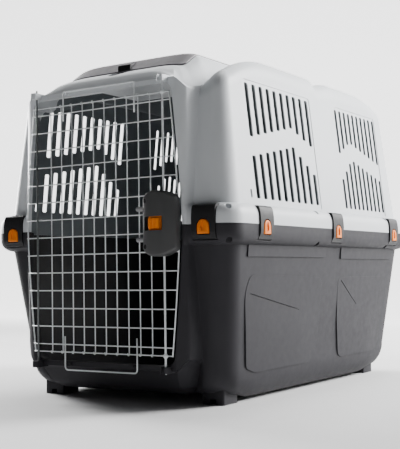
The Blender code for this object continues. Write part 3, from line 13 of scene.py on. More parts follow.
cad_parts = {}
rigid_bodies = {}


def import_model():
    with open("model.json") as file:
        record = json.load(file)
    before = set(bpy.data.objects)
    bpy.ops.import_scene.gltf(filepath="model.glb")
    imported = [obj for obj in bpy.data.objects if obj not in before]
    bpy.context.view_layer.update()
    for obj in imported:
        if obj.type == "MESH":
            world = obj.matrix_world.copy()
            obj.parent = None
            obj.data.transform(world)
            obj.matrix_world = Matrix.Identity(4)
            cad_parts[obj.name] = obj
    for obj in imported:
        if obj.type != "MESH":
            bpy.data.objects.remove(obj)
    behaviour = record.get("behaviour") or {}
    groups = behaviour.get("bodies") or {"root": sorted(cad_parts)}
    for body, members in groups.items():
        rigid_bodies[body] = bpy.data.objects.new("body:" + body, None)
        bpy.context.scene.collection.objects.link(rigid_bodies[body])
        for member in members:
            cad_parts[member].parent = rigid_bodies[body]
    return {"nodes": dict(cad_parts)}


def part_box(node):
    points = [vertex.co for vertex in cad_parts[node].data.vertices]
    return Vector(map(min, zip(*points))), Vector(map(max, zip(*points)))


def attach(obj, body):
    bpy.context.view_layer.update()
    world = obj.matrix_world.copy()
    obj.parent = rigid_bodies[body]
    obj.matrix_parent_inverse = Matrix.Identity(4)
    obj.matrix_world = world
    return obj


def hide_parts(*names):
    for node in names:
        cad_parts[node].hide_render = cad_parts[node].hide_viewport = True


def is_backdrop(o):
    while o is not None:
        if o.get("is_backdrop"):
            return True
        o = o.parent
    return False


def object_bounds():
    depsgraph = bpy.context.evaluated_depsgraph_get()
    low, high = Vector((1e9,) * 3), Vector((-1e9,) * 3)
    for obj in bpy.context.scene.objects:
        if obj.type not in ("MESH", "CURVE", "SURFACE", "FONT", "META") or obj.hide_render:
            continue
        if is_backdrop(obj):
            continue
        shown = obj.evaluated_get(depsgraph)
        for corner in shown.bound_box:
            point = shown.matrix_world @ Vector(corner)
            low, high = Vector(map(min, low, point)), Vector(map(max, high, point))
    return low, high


# Shapes shared with the CAD source, in its own frame
BODY_LENGTH = 0.92
BODY_WIDTH = 0.63
PARTING_Z = 0.36
FLOOR_Z = 0.015
FLOOR_FRONT_RISE = 0.007
FLOOR_FRONT_BLEND = 0.045
BELLY_Z = 0.0065
BELLY_MARGIN = 0.008
BELLY_BLEND = 0.035
WALL = 0.0035
ROOF_WALL = 0.005
CLEARANCE = 0.0003
PARTING_GAP = 0.0004
UPPER_DRAFT = 0.11
LOWER_DRAFT = 0.12
CORNER_RADIUS = 0.045
BELT_PROUD = 0.021
BELT_HALF = 0.041
BELT_TOP = PARTING_Z + BELT_HALF
BELT_FOOT = PARTING_Z - BELT_HALF
FLOOR_INSET = 0.068
FLOOR_FRONT_INSET = 0.039
BOTTOM_EDGE_Z = 0.078
HUMP_Z = 0.733
HUMP_INSET = 0.158
HUMP_SLOPE = 0.67
HUMP_SLOPE_LENGTH = 0.0593
HUMP_SLOPE_BLEND = 0.020
HUMP_CROWN = 0.009
CROWN_POWER = 8
FORE_SLOPE = 0.28
FORE_LENGTH = 0.058
FORE_BEND = 0.0054
RIDGE_DROP = 0.016
RIDGE_INSET = 0.055
RIDGE_FRONT_LENGTH = 0.26
RIDGE_FRONT_FALL = 0.0973
REAR_FALL_LENGTH = 0.22
RIDGE_REAR_FALL = 0.0547
HUMP_REAR_FALL = 0.0581
VALLEY_REAR_FALL = 0.0242
VALLEY_INSET = 0.120
VALLEY_DROP = 0.051
VALLEY_FRONT_DROP = 0.099
VALLEY_START = 0.06
VALLEY_LENGTH = 0.16
SHOULDER_HEIGHT = 0.045
NOTCH_Y = 0.002
NOTCH_LENGTH = 0.100
NOTCH_DEPTH = 0.013
NOTCH_STEEP_SHARE = 0.12
SPINE_FRONT_SHARE = 0.2065
SPINE_REAR_SHARE = 0.185
PORTAL_INSET = 0.104
PORTAL_PROUD = 0.006
PORTAL_BEVEL = 0.014
PORTAL_SPLAY = 0.0025
PORTAL_CREST = 0.030
PORTAL_CORNER_DROP = 0.022
PORTAL_MARGIN = 0.006
OPENING_INSET = 0.1115
OPENING_EDGE = 0.002
OPENING_TAPER = 0.0225
OPENING_CORNER = 0.020
OPENING_BOW = 1.4
SILL_Z = 0.0843
LINTEL_DROP = 0.0897
LIP_HEIGHT = 0.010
RIM_THICKNESS = 0.003
RIM_DEPTH = 0.013
FRONT_VENT_MARGIN = 0.144
FRONT_VENT_PITCH = 0.030
FRONT_VENT_WIDTH = 0.013
FRONT_VENT_COLUMNS = 10
FRONT_VENT_PEAK = 6.0
REAR_VENT_MARGIN = 0.124
REAR_VENT_PITCH = 0.025
REAR_VENT_WIDTH = 0.0105
REAR_VENT_COLUMNS = 10
REAR_VENT_PEAK = 2.5
VENT_TOP_MARGIN = 0.062
VENT_BOTTOM_MARGIN = 0.013
VENT_BAND_SHARE = 0.689
VENT_BAND = 0.042
FOOT_INSET = 0.079
FOOT_WIDTH = 0.052
FOOT_DEPTH = 0.054
FOOT_TOP = 0.060
FOOT_FRONT_INSET = 0.085
FOOT_REAR_INSET = 0.0955
WHEEL_SLOT_WIDTH = 0.014
WHEEL_SLOT_HEIGHT = 0.011
WHEEL_SLOT_BACK = 0.010
WIRE = 0.0032
WIRE_LAYER = 0.0024
DOOR_STANDOFF = 0.0021
HORIZONTAL_PITCH = 0.03754
HORIZONTAL_MARGIN = 0.010
VERTICAL_PITCH = 0.0291
VERTICAL_COUNT = 10
SIDE_WIRE_CLEARANCE = 0.0043
DOOR_TOP_CLEARANCE = 0.0196
DOOR_BOTTOM_CLEARANCE = 0.0197
ROD_RADIUS = 0.0022
ROD_INSET = 0.0367
ROD_RUNNING = 0.0005
HINGE_ROD_REACH = 0.020
GUIDE_RADIUS = 0.0046
GUIDE_HEIGHT = 0.006
LOOP_HALF = 0.0941
LOOP_DROP = 0.032
LOOP_TOP_REACH = 0.0104
LOOP_BOTTOM_REACH = 0.0173
BOSS_HALF = 0.0072
BOSS_HEIGHT = 0.013
BOSS_DEPTH = 0.016
BOSS_FRONT = 0.0115
BOSS_ROUND = 0.0035
STUD_X = 0.082
STUD_RADIUS = 0.003
STUD_LENGTH = 0.006
STUD_OFFSET = 0.005
LATCH_IN = 0.0432
LATCH_OUT = 0.0367
LATCH_LOW_Z = 0.298
LATCH_HIGH_Z = 0.4274
LATCH_DEPTH = 0.0307
LATCH_EDGE_DEPTH = 0.0140
LATCH_END_RISE = 0.0145
LATCH_WALL = 0.003
WINDOW_IN = 0.0323
WINDOW_OUT = 0.0137
WINDOW_HEIGHT = 0.0276
SLIDER_IN = 0.0078
SLIDER_WIDTH = 0.026
SLIDER_HEIGHT = 0.020
SLIDER_RECESS = 0.0038
SLIDER_RIB = 0.003
SLIDER_FLANGE = 0.002
PLATE_THICKNESS = 0.002
WEB_THICKNESS = 0.0024
SPRING_RADIUS = 0.0016
SCREW_IN = 0.0316
SCREW_SPREAD = 0.045
SCREW_SHANK = 0.0015
SCREW_HEAD = 0.0048
SCREW_SINK = 0.018
PEG_RADIUS = 0.0048
PEG_LENGTH = 0.026
PEG_SEAT = 0.006
PEG_SPREAD = 0.0305
CLIP_WIDTH = 0.054
CLIP_FACE_OUT = 0.0035
CLIP_TOP = 0.0372
CLIP_LEDGE_Z = 0.0330
CLIP_BACK_IN = 0.0106
CLIP_HOOK_IN = 0.0165
CLIP_PIVOT_IN = 0.0062
CLIP_PIVOT_DOWN = 0.0265
CLIP_HEEL_RADIUS = 0.0044
CLIP_SIDE_GAP = 0.0006
CLIP_SWING_GAP = 0.0006
CLIP_HEEL_GAP = 0.0013
TRUNNION_RADIUS = 0.0015
TRUNNION_REACH = 0.0035
BUTTON_WIDTH = 0.027
BUTTON_HEIGHT = 0.034
BUTTON_DOWN = 0.0225
BUTTON_PROUD = 0.0007
BUTTON_THICKNESS = 0.0045
BUTTON_TRAVEL = 0.002
SIDE_CLIP_SHARE = 0.364
SIDE_CLIP_Y = 0.005
FRONT_CLIP_INSET = 0.0652
REAR_CLIP_INSET = 0.145
LID_SIDE_MARGIN = 0.002
LID_LENGTH = 0.256
LID_FRONT_INSET = 0.080
LID_PROUD = 0.002
LID_CORNER = 0.014
LID_THICKNESS = 0.0032
LID_EDGE_GAP = 0.0010
TRAY_SIDE_MARGIN = 0.013
TRAY_FRONT_MARGIN = 0.0265
TRAY_REAR_MARGIN = 0.016
TRAY_FRONT_WALL = 0.010
TRAY_DEPTH = 0.043
HINGE_X = 0.090
KNUCKLE_RADIUS = 0.004
KNUCKLE_LENGTH = 0.024
HINGE_PIN_RADIUS = 0.0015
EAR_WIDTH = 0.008
HINGE_SETBACK = 0.0048
CATCH_HALF = 0.0165
CATCH_LENGTH = 0.040
CATCH_THICKNESS = 0.0012
CATCH_BAR_HALF = 0.0085
CATCH_TAB = ((0.0, 0.0), (0.0095, 0.0), (0.0118, 0.0085), (0.0100, 0.0100), (0.0080, 0.0095))
CATCH_TRAVEL = 0.006
CATCH_STEM_HALF = 0.006
CATCH_STEM_LENGTH = 0.008
CATCH_FOOT_HALF = 0.010
CATCH_FOOT_LENGTH = 0.012
CATCH_FOOT_HEIGHT = 0.0036
CATCH_TONGUE = 0.006
CATCH_TONGUE_HEIGHT = 0.0018
HALF_WIDTH = BODY_WIDTH / 2
HALF_LENGTH = BODY_LENGTH / 2
SHELL_HALF_WIDTH = HALF_WIDTH - BELT_PROUD
SHELL_HALF_LENGTH = HALF_LENGTH - BELT_PROUD
RIDGE_Z = HUMP_Z - RIDGE_DROP
LINTEL_Z = HUMP_Z - LINTEL_DROP
TRAY_FLOOR_Z = HUMP_Z - TRAY_DEPTH
HUMP_HALF = HALF_WIDTH - HUMP_INSET
VALLEY_HALF = HALF_WIDTH - VALLEY_INSET
PORTAL_HALF = HALF_WIDTH - PORTAL_INSET
OPENING_HALF = HALF_WIDTH - OPENING_INSET
FOOT_HALF_SPREAD = HALF_WIDTH - FOOT_INSET
ROD_X = OPENING_HALF - ROD_INSET
PORTAL_Y = -HALF_LENGTH - PORTAL_PROUD
CREST_Y = -HALF_LENGTH + PORTAL_CREST
VERTICAL_Y = PORTAL_Y - DOOR_STANDOFF
HORIZONTAL_Y = VERTICAL_Y - WIRE_LAYER
HINGE_Y = HORIZONTAL_Y - 0.6 * (ROD_RADIUS + WIRE / 2)
BOLT_Y = HORIZONTAL_Y - WIRE / 2 - ROD_RUNNING - ROD_RADIUS
LATCH_BACK_Y = HORIZONTAL_Y - WIRE / 2 - CLEARANCE
LATCH_FRONT_Y = LATCH_BACK_Y - LATCH_DEPTH
LATCH_LEFT = ROD_X - LATCH_IN
LATCH_RIGHT = ROD_X + LATCH_OUT
LATCH_X = (LATCH_LEFT + LATCH_RIGHT) / 2
SLIDER_X = ROD_X - SLIDER_IN
SCREW_X = ROD_X - SCREW_IN
LATCH_Z = (LATCH_LOW_Z + LATCH_HIGH_Z) / 2
PLATE_Y = BOLT_Y - ROD_RADIUS - 0.004
DOOR_TOP_Z = LINTEL_Z - DOOR_TOP_CLEARANCE
DOOR_BOTTOM_Z = SILL_Z + DOOR_BOTTOM_CLEARANCE
LID_FRONT_Y = -HALF_LENGTH + LID_FRONT_INSET
LID_HINGE_Y = LID_FRONT_Y + LID_LENGTH
LID_HALF = HUMP_HALF - LID_SIDE_MARGIN
TRAY_HALF = LID_HALF - TRAY_SIDE_MARGIN
SLOPE_END_Y = LID_FRONT_Y + HUMP_SLOPE_LENGTH
SLOPE_BLEND_Y = SLOPE_END_Y - HUMP_SLOPE_BLEND
ROOF_KINKS = (LID_FRONT_Y, SLOPE_BLEND_Y, SLOPE_END_Y)
BELT_SECTION = ((1.0, -0.05), (0.975, 0.45), (0.81, 0.74), (0.45, 0.92), (0.0, 1.0))
FRAME_OVER = ((0.0, 0.0), (0.24, 0.04), (0.42, 0.38), (0.72, 0.78), (1.0, 1.0))
FRAME_UNDER = ((0.0, 0.0), (0.36, 0.24), (0.59, 0.62), (0.76, 0.95), (1.0, 1.0))

# Detail that only the looks have, and how finely the forms are divided
FACE_SHARES = (0.0, 0.15, 0.30, 0.45, 0.60, 0.75, 0.90, 1.0)
EDGE_STEPS = 6
FRAME_COUNT = len(FACE_SHARES) + EDGE_STEPS
FILLET_WEIGHTS = (0.75, 0.35, 0.08)
CORNER_COUNT = 12
NOTCH_STATIONS = (-0.004, 0.0, 0.004, 0.008, 0.012, 0.018, 0.026, 0.036, 0.048, 0.062, 0.078, 0.100)
SHOULDER_STEPS = 14
ROOF_FRONT_STEPS = 26
THIN_WIRE = 0.0013
PANEL_PROUD = 0.0030
SLOT_ROUND = 0.004
BELT_HOLES = (-0.4400, -0.0850, 0.3040)
BELT_HOLE_RADIUS = 0.0068
SLOT_SHARE = 0.57
LID_SEAM = 0.0012
CREASE_HALF = 0.0015
BUTTON_TRIM = 0.0028
BELT_HOLE_IN = 0.0110
STRIPS = ((-0.368, -0.019, 0.296), (0.064, 0.362, 0.293))
INSIDE_FRONT_Y = -0.395
SCOOP_HALF = 0.021
SCOOP_AHEAD = 0.020
SCOOP_REACH = 0.040
SCOOP_DEPTH = 0.014
SCOOP_WALL = 0.0025
OVERLAP = 0.001
THROUGH = 0.1
ROD_SIDES = 20
PIN_SIDES = 16
KINK_GAP = 0.0012
SLAB_KINK_GAP = 0.0014
LAST_ROOF_SHARE = 0.995
VENT_LINE_WIDTH = 0.0012
VENT_LINE_OVER = 0.004
VENT_TOP_ROUNDS = (0.0, 0.0, 0.010, 0.014)
FRONT_VENT_SPAN = 9.55
VENT_CUT_DEPTH = 0.06
BELT_HOLE_RISE = (0.026, 0.06)
FRONT_HOLE_INSET = 0.010
TRAY_CORNER = 0.008
EAR_DEPTH = 0.014
HOOK_BOW = 0.72
HOOK_BACK = 0.92
LOOP_EXTRA = 0.0003
SIDE_WIRE_EXTRA = 0.0002
SIDE_WIRE_OVER = 0.0012
WIRE_END = 0.0004
HOUSING_EDGE = 0.0025
COLUMN_WALL = 0.0018
STEM_DEPTH = 0.006
STEM_HALVES = (0.006, 0.003)
PEG_END = ((0.0, 0.55), (0.0006, 0.86), (0.0016, 1.0))
PEG_GROOVE = ((0.0, 1.0), (0.0003, 0.93), (0.0009, 0.93), (0.0012, 1.0))
PEG_FIRST_GROOVE = 0.0034
PEG_GROOVE_PITCH = 0.0024
BUTTON_GAP = 0.0019
BUTTON_RIM = ((0.0012, 0.0), (0.0004, 0.0005), (0.0, 0.0014))
FLAME_DEPTH = 0.0022
LEVER_ROUND = 0.0011
CLOUD_SCALE = 5.0
SCUFF_SCALE = 60.0
BUMP_DISTANCE = 0.0004
METAL_CLOUD_SCALE = 90.0
STREAK_SCALE = 700.0
SWEEP_REACH = 9.0
SWEEP_BACK_Y = 2.6
SWEEP_ROUND = 1.6
SWEEP_HEIGHT = 7.0
LIGHTS = (
    ("left light", (-3.2, 0.7, 1.4), (-0.2, 0.0, 0.45), (1.0, 1.8), 75.0),
    ("right light", (2.2, 2.2, 2.0), (0.1, 0.1, 0.45), (1.2, 1.6), 74.0),
    ("top light", (-0.1, 0.7, 3.3), (0.0, 0.1, 0.5), (1.4, 1.4), 14.0),
)
WORLD_COLOUR = (0.95, 0.96, 1.0, 1.0)
WORLD_STRENGTH = 0.06
FOCAL_LENGTH = 77.23
CAMERA_PLACE = (1.25608, -2.01572, 0.26336)
CAMERA_RIGHT = (0.83709, 0.54684, -0.01600)
CAMERA_UP = (0.04129, -0.03399, 0.99857)
CAMERA_AHEAD = (-0.54551, 0.83655, 0.05103)
FRAME_FILLET = 0.006
REAR_SHARES = (0.72, 0.55, 0.40, 0.25, 0.12, 0.0)
CORNER_DROP_POWER = 1.2
PAST_FACE = 0.02
LINE_DEPTH = 0.0006
BORDER_DEPTH = 0.0011
CREASE_DEPTH = 0.0010
STRIP_PROUD = 0.0028
PANEL_SUNK = 0.0003
PANEL_MARGIN = 0.004
FOOT_ROUND = 0.004
WINDOW_ROUND = 0.0025
HOUSING_ROUND = 0.0055
HOLLOW_ROUND = 0.003
PEG_GROOVES = 7
LOOP_BEND = 0.008
BELT_STEPS = 12
DOORWAY_STEPS = 28
DOME_SHARE = 0.55
HOLE_REACH = 0.03
FRONT_VENT_FALLS = (0.0063, 0.0105, 0.0059, 0.018)
REAR_VENT_FALLS = (0.0125, 0.0063, 0.021, 0.0063)
BIG_PANEL = ((-0.338, 0.0715), (-0.300, 0.0600), (-0.0585, 0.0615), (-0.030, 0.083), (-0.022, 0.125),
             (-0.022, 0.250), (-0.345, 0.262), (-0.366, 0.228))
BIG_PANEL_RADII = (0.010, 0.010, 0.012, 0.015, 0.01, 0.02, 0.02, 0.03)
REAR_PANEL = ((0.094, 0.066), (0.112, 0.0590), (0.312, 0.0615), (0.335, 0.080), (0.335, 0.250),
              (0.064, 0.250), (0.073, 0.140))
REAR_PANEL_RADII = (0.007, 0.007, 0.012, 0.015, 0.02, 0.02, 0.03)
CREASES = (((-0.3434, 0.2214), (-0.127, 0.182)), ((0.082, 0.2419), (0.1793, 0.183)))
CATCH_TAB_RADII = (0.0005, 0.001, 0.0006, 0.001, 0.001)
SLIDER_WAVES = 3
LEVER_FRONT = ((0.0, 0.0), (0.8, 0.12), (1.0, 0.30), (1.0, 0.58), (0.8, 0.79), (0.35, 0.94))
FLAME = ((-0.0036, 0.009), (0.0036, 0.009), (0.0048, 0.018), (0.0, 0.0285), (-0.0048, 0.018))
FLAME_RADII = (0.002, 0.002, 0.003, 0.0012, 0.003)
SOFT_EDGE = 0.0006
GLOSS_CHANGE = 0.06
LIGHT_SPREAD = 1.5


# Forms shared with the CAD source

def boxes(corners, places=(Matrix.Identity(4),)):
    """Separate boxes in one mesh, each from its low and high corner, repeated at each place."""
    data = bmesh.new()
    for place in places:
        for low, high in corners:
            for vertex in bmesh.ops.create_cube(data, size=1.0)["verts"]:
                spot = [low[a] if vertex.co[a] < 0 else high[a] for a in range(3)]
                vertex.co = place @ Vector(spot)
    return keep(data)


def box(low, high):
    return boxes([(low, high)])


def rods(parts, sides=12, places=(Matrix.Identity(4),)):
    """Separate round bars in one mesh, each from its two ends and its radius."""
    data = bmesh.new()
    for place in places:
        for start, end, radius in parts:
            start, end = place @ Vector(start), place @ Vector(end)
            along = end - start
            turn = along.to_track_quat("Z", "Y").to_matrix().to_4x4()
            bmesh.ops.create_cone(data, cap_ends=True, segments=sides, radius1=radius,
                                  radius2=radius, depth=along.length,
                                  matrix=Matrix.Translation((start + end) / 2) @ turn)
    return keep(data)


def lifted(pair, axis, level):
    """Point with the pair as its other two coordinates and the level along the axis (0, 1 or 2)."""
    return (*pair[:axis], level, *pair[axis:])


def bars(spots, axis, low, high, radius, sides):
    """Round bars along the axis, one through each spot."""
    return rods([(lifted(spot, axis, low), lifted(spot, axis, high), radius) for spot in spots], sides)


def prism(outline, axis, low, high):
    """Solid with a 2-D outline drawn across the axis, from low to high along it."""
    return loft([[lifted(pair, axis, level) for pair in outline] for level in (low, high)])


def loft(rings):
    """Closed solid through rings of points, with flat ends."""
    data = bmesh.new()
    levels = [[data.verts.new(point) for point in ring] for ring in rings]
    data.faces.new(levels[0])
    data.faces.new(list(reversed(levels[-1])))
    for first, second in zip(levels, levels[1:]):
        join_rings(data, first, second)
    return keep(data)


def join_rings(data, first, second):
    for index in range(len(first)):
        after = (index + 1) % len(first)
        data.faces.new((first[index], first[after], second[after], second[index]))


def arc(centre_x, centre_y, radius, start, end, steps):
    """Points on an arc, angles in degrees."""
    points = []
    for step in range(steps + 1):
        angle = math.radians(start + (end - start) * step / steps)
        points.append((centre_x + radius * math.cos(angle), centre_y + radius * math.sin(angle)))
    return points


def mirrored(points):
    """Whole outline from its right half."""
    return points + [(-x, y) for x, y in reversed(points)]


def smoothstep(value):
    value = min(max(value, 0.0), 1.0)
    return value * value * (3 - 2 * value)


def mix(first, second, share):
    return first + (second - first) * share


def spread(low, high, count):
    """Places that divide a span into count equal parts, with both ends."""
    return [mix(low, high, step / count) for step in range(count + 1)]


def turns(count):
    """Angles that divide a full turn."""
    return [2 * math.pi * step / count for step in range(count)]


def rear_fall(y, amount):
    """How far the roof has come down towards the rear, given the fall at the end."""
    behind = max(0.0, y - HALF_LENGTH + REAR_FALL_LENGTH) / REAR_FALL_LENGTH
    return amount * behind ** 2


def ridge_z(y):
    """Crest of the side ridges: level in the middle, falling to both ends, with a dip half way."""
    ahead = max(0.0, -HALF_LENGTH + RIDGE_FRONT_LENGTH - y) / RIDGE_FRONT_LENGTH
    along = (y - NOTCH_Y) / NOTCH_LENGTH
    dip = 0.0
    if 0.0 < along < 1.0:
        rise = (along - NOTCH_STEEP_SHARE) / (1.0 - NOTCH_STEEP_SHARE)
        dip = NOTCH_DEPTH * min(along / NOTCH_STEEP_SHARE, 1.0) * (1.0 - smoothstep(rise))
    return RIDGE_Z - RIDGE_FRONT_FALL * ahead ** 2 - rear_fall(y, RIDGE_REAR_FALL) - dip


def slope_drop(y):
    """Drop of the middle of the roof: gentle ahead of the lid, steep under its front face."""
    depth = SLOPE_END_Y - max(y, LID_FRONT_Y)
    if depth <= 0.0:
        return 0.0
    if depth < HUMP_SLOPE_BLEND:
        return HUMP_SLOPE * depth * depth / (2 * HUMP_SLOPE_BLEND)
    ahead = max(0.0, LID_FRONT_Y - y)
    fore = FORE_SLOPE * ahead + FORE_BEND * (ahead / FORE_LENGTH) ** 2
    return HUMP_SLOPE * (depth - HUMP_SLOPE_BLEND / 2) + fore


def hump_z(x, y):
    """Middle of the roof, a little lower towards its own edges."""
    crown = HUMP_CROWN * (x / HUMP_HALF) ** CROWN_POWER
    return HUMP_Z - slope_drop(y) - rear_fall(y, HUMP_REAR_FALL) - crown


def valley_z(y):
    """Bottom of the hollows between the middle of the roof and its side ridges."""
    share = smoothstep((y + HALF_LENGTH - VALLEY_START) / VALLEY_LENGTH)
    drop = mix(VALLEY_FRONT_DROP, VALLEY_DROP, share)
    return HUMP_Z - drop - rear_fall(y, VALLEY_REAR_FALL)


def roof_z(x, y):
    """Height of the roof's outer face."""
    across = abs(x)
    ridge_half = SHELL_HALF_WIDTH - RIDGE_INSET
    if across <= VALLEY_HALF:
        share = smoothstep((across - HUMP_HALF) / (VALLEY_HALF - HUMP_HALF))
        return mix(hump_z(x, y), valley_z(y), share)
    share = smoothstep((across - VALLEY_HALF) / (ridge_half - VALLEY_HALF))
    return mix(valley_z(y), ridge_z(y), share)


def edge_z(sign):
    """Height of the lintel (sign 1) or of the sill (sign -1)."""
    return LINTEL_Z if sign > 0 else SILL_Z


def opening_reach(sign):
    """Height of the upper (sign 1) or lower (sign -1) half of the doorway."""
    return abs(edge_z(sign) - PARTING_Z)


def opening_half(z):
    """Half width of the doorway at height z."""
    share = min(abs(z - PARTING_Z) / opening_reach(1 if z > PARTING_Z else -1), 1.0)
    return OPENING_HALF - OPENING_TAPER * share ** OPENING_BOW


def level_ring(points, z):
    return [(x, y, z) for x, y in points]


def floor_z(y):
    """Underside of the floor, which is raised where the feet are."""
    (_, front), (rear, _) = foot_spans()
    share = smoothstep((y - front - BELLY_MARGIN) / BELLY_BLEND)
    share *= smoothstep((rear - BELLY_MARGIN - y) / BELLY_BLEND)
    rise = FLOOR_FRONT_RISE * smoothstep((front - y) / FLOOR_FRONT_BLEND)
    return mix(FLOOR_Z + rise, BELLY_Z, share)


def clip_places():
    """Names and places of the clips: the belt's outer face at the parting plane, facing local -Y."""
    front_x, rear_x = HALF_WIDTH - FRONT_CLIP_INSET, HALF_WIDTH - REAR_CLIP_INSET
    spots = [("front_left", -front_x, -HALF_LENGTH, 0), ("front_right", front_x, -HALF_LENGTH, 0),
             ("rear_left", -rear_x, HALF_LENGTH, 180), ("rear_right", rear_x, HALF_LENGTH, 180)]
    for step, along in zip((-1, 0, 1), ("front", "middle", "rear")):
        y = SIDE_CLIP_Y + step * SIDE_CLIP_SHARE * BODY_LENGTH
        spots += [(f"left_{along}", -HALF_WIDTH, y, -90), (f"right_{along}", HALF_WIDTH, y, 90)]
    return {name: Matrix.Translation((x, y, PARTING_Z)) @ Matrix.Rotation(math.radians(turn), 4, "Z")
            for name, x, y, turn in spots}


def cut_clip_pockets(shell, upper):
    """Pockets for the clips in the belt, with the hooks' slots above or the pivots' holes below."""
    places = list(clip_places().values())
    half = CLIP_WIDTH / 2 + CLIP_SIDE_GAP
    low = -CLIP_PIVOT_DOWN - CLIP_HEEL_RADIUS - CLIP_HEEL_GAP
    cut(shell, boxes([((-half, -0.03, low), (half, CLIP_BACK_IN + CLIP_SWING_GAP, 0.06))], places))
    if upper:
        slot = ((-half, CLIP_BACK_IN, CLIP_LEDGE_Z), (half, CLIP_HOOK_IN + 0.0015, 0.06))
        cut(shell, boxes([slot], places))
        return
    reach = CLIP_WIDTH / 2 + TRUNNION_REACH + 2 * CLEARANCE
    start, end = [(x, CLIP_PIVOT_IN, -CLIP_PIVOT_DOWN) for x in (-reach, reach)]
    cut(shell, rods([(start, end, TRUNNION_RADIUS + CLEARANCE)], 12, places))


def foot_spans():
    """Front and rear y of the front and of the rear foot."""
    front = -HALF_LENGTH + FOOT_FRONT_INSET
    rear = HALF_LENGTH - FOOT_REAR_INSET
    return (front, front + FOOT_DEPTH), (rear - FOOT_DEPTH, rear)


def wheel_slots():
    """Sockets in the feet, open below and towards the nearer end of the crate."""
    blocks = []
    centre = FOOT_HALF_SPREAD - FOOT_WIDTH / 2
    half = WHEEL_SLOT_WIDTH / 2
    (front, front_back), (rear_front, rear) = foot_spans()
    for y_low, y_high in ((front - 0.01, front_back - WHEEL_SLOT_BACK),
                          (rear_front + WHEEL_SLOT_BACK, rear + 0.01)):
        for x in (-centre, centre):
            blocks.append(((x - half, y_low, -0.01), (x + half, y_high, WHEEL_SLOT_HEIGHT)))
    return boxes(blocks)


def offset_roof(distance):
    return lambda x, y: roof_z(x, y) + distance


def tray_span(grow):
    """Front and rear y of the tray, grown outward."""
    front = LID_FRONT_Y + TRAY_FRONT_MARGIN - grow
    return front, LID_HINGE_Y - TRAY_REAR_MARGIN + grow


def hinge_z():
    """Height of the lid's hinge axis."""
    return roof_z(HINGE_X, LID_HINGE_Y)


def hinge_bars(reach, radius, sides=ROD_SIDES):
    """Round bars on the lid's hinge axis, one at each hinge."""
    z = hinge_z()
    return rods([((x - reach, LID_HINGE_Y, z), (x + reach, LID_HINGE_Y, z), radius)
                 for x in (-HINGE_X, HINGE_X)], sides)


def hinge_blocks(half, y_low, y_high, low, high):
    """Boxes at both hinges, their heights counted from the hinge axis."""
    z = hinge_z()
    return boxes([((x - half, y_low, z + low), (x + half, y_high, z + high)) for x in (-HINGE_X, HINGE_X)])


def ear_reach():
    return KNUCKLE_LENGTH / 2 + CLEARANCE + EAR_WIDTH


def slope_frame():
    """Place of the catch: on the lid's front slope, local +Y up the slope and +Z off it."""
    turn = Matrix.Rotation(math.atan(HUMP_SLOPE), 4, "X")
    return Matrix.Translation((0.0, LID_FRONT_Y, roof_z(0.0, LID_FRONT_Y) + LID_PROUD)) @ turn


def slope_boxes(corners):
    return boxes(corners, [slope_frame()])


def catch_stem_span():
    return CATCH_LENGTH - CATCH_STEM_LENGTH, CATCH_LENGTH


def catch_levels():
    """Heights off the slope: plate foot, lid's inner face, foot's top, foot's underside."""
    inner = -LID_THICKNESS * math.cos(math.atan(HUMP_SLOPE))
    return CLEARANCE, inner, inner - CLEARANCE, inner - CLEARANCE - CATCH_FOOT_HEIGHT


def catch_keeper():
    """Blind slot in the tray's front wall that the tongue slides into."""
    start = catch_stem_span()[0] - (CATCH_FOOT_LENGTH - CATCH_STEM_LENGTH) / 2
    under = catch_levels()[3]
    half = CATCH_FOOT_HALF + 2 * CLEARANCE
    return ((-half, start - CATCH_TONGUE - 0.001, under - CLEARANCE),
            (half, start + 0.02, under + CATCH_TONGUE_HEIGHT + CLEARANCE))


def side_x(z):
    """Distance of the door's side wires from its middle, at height z."""
    return opening_half(z) - SIDE_WIRE_CLEARANCE


def horizontal_heights():
    """Heights of the cross wires, lowest first."""
    span = DOOR_TOP_Z - DOOR_BOTTOM_Z
    gaps = int((span - 2 * HORIZONTAL_MARGIN) / HORIZONTAL_PITCH)
    first = (DOOR_TOP_Z + DOOR_BOTTOM_Z - gaps * HORIZONTAL_PITCH) / 2
    rows = [first + index * HORIZONTAL_PITCH for index in range(gaps + 1)]
    return [DOOR_BOTTOM_Z] + rows + [DOOR_TOP_Z]


def screw_spots():
    """Centres of the latch screws, x and z."""
    return [(SCREW_X, LATCH_Z + SCREW_SPREAD), (SCREW_X, LATCH_Z - SCREW_SPREAD)]


def peg_spots():
    """Centres of the latch pegs, y and z."""
    y = LATCH_BACK_Y - PEG_RADIUS - 2 * CLEARANCE
    return [(y, LATCH_Z + PEG_SPREAD), (y, LATCH_Z - PEG_SPREAD)]


def local_y(outward):
    """Local y of a distance out from the belt's face; local origin is the clip's pivot."""
    return -(outward + CLIP_PIVOT_IN)


# Helpers

def new_object(name, data):
    made = bpy.data.objects.new(name, data)
    bpy.context.scene.collection.objects.link(made)
    return made


def from_bmesh(data):
    """Object from a bmesh, which is used up."""
    mesh = bpy.data.meshes.new("solid")
    data.to_mesh(mesh)
    data.free()
    return new_object("solid", mesh)


def keep(data):
    """Object from a bmesh, with its faces turned outward."""
    bmesh.ops.recalc_face_normals(data, faces=data.faces)
    return from_bmesh(data)


def combine(target, tool, operation):
    """Joins, cuts or intersects a closed mesh with another one, which is used up."""
    step = target.modifiers.new("combine", "BOOLEAN")
    step.object = tool
    step.operation = operation
    step.solver = "MANIFOLD"
    bpy.context.view_layer.update()
    graph = bpy.context.evaluated_depsgraph_get()
    result = bpy.data.meshes.new_from_object(target.evaluated_get(graph))
    target.modifiers.clear()
    old = target.data
    target.data = result
    bpy.data.meshes.remove(old)
    bpy.data.objects.remove(tool, do_unlink=True)
    return target


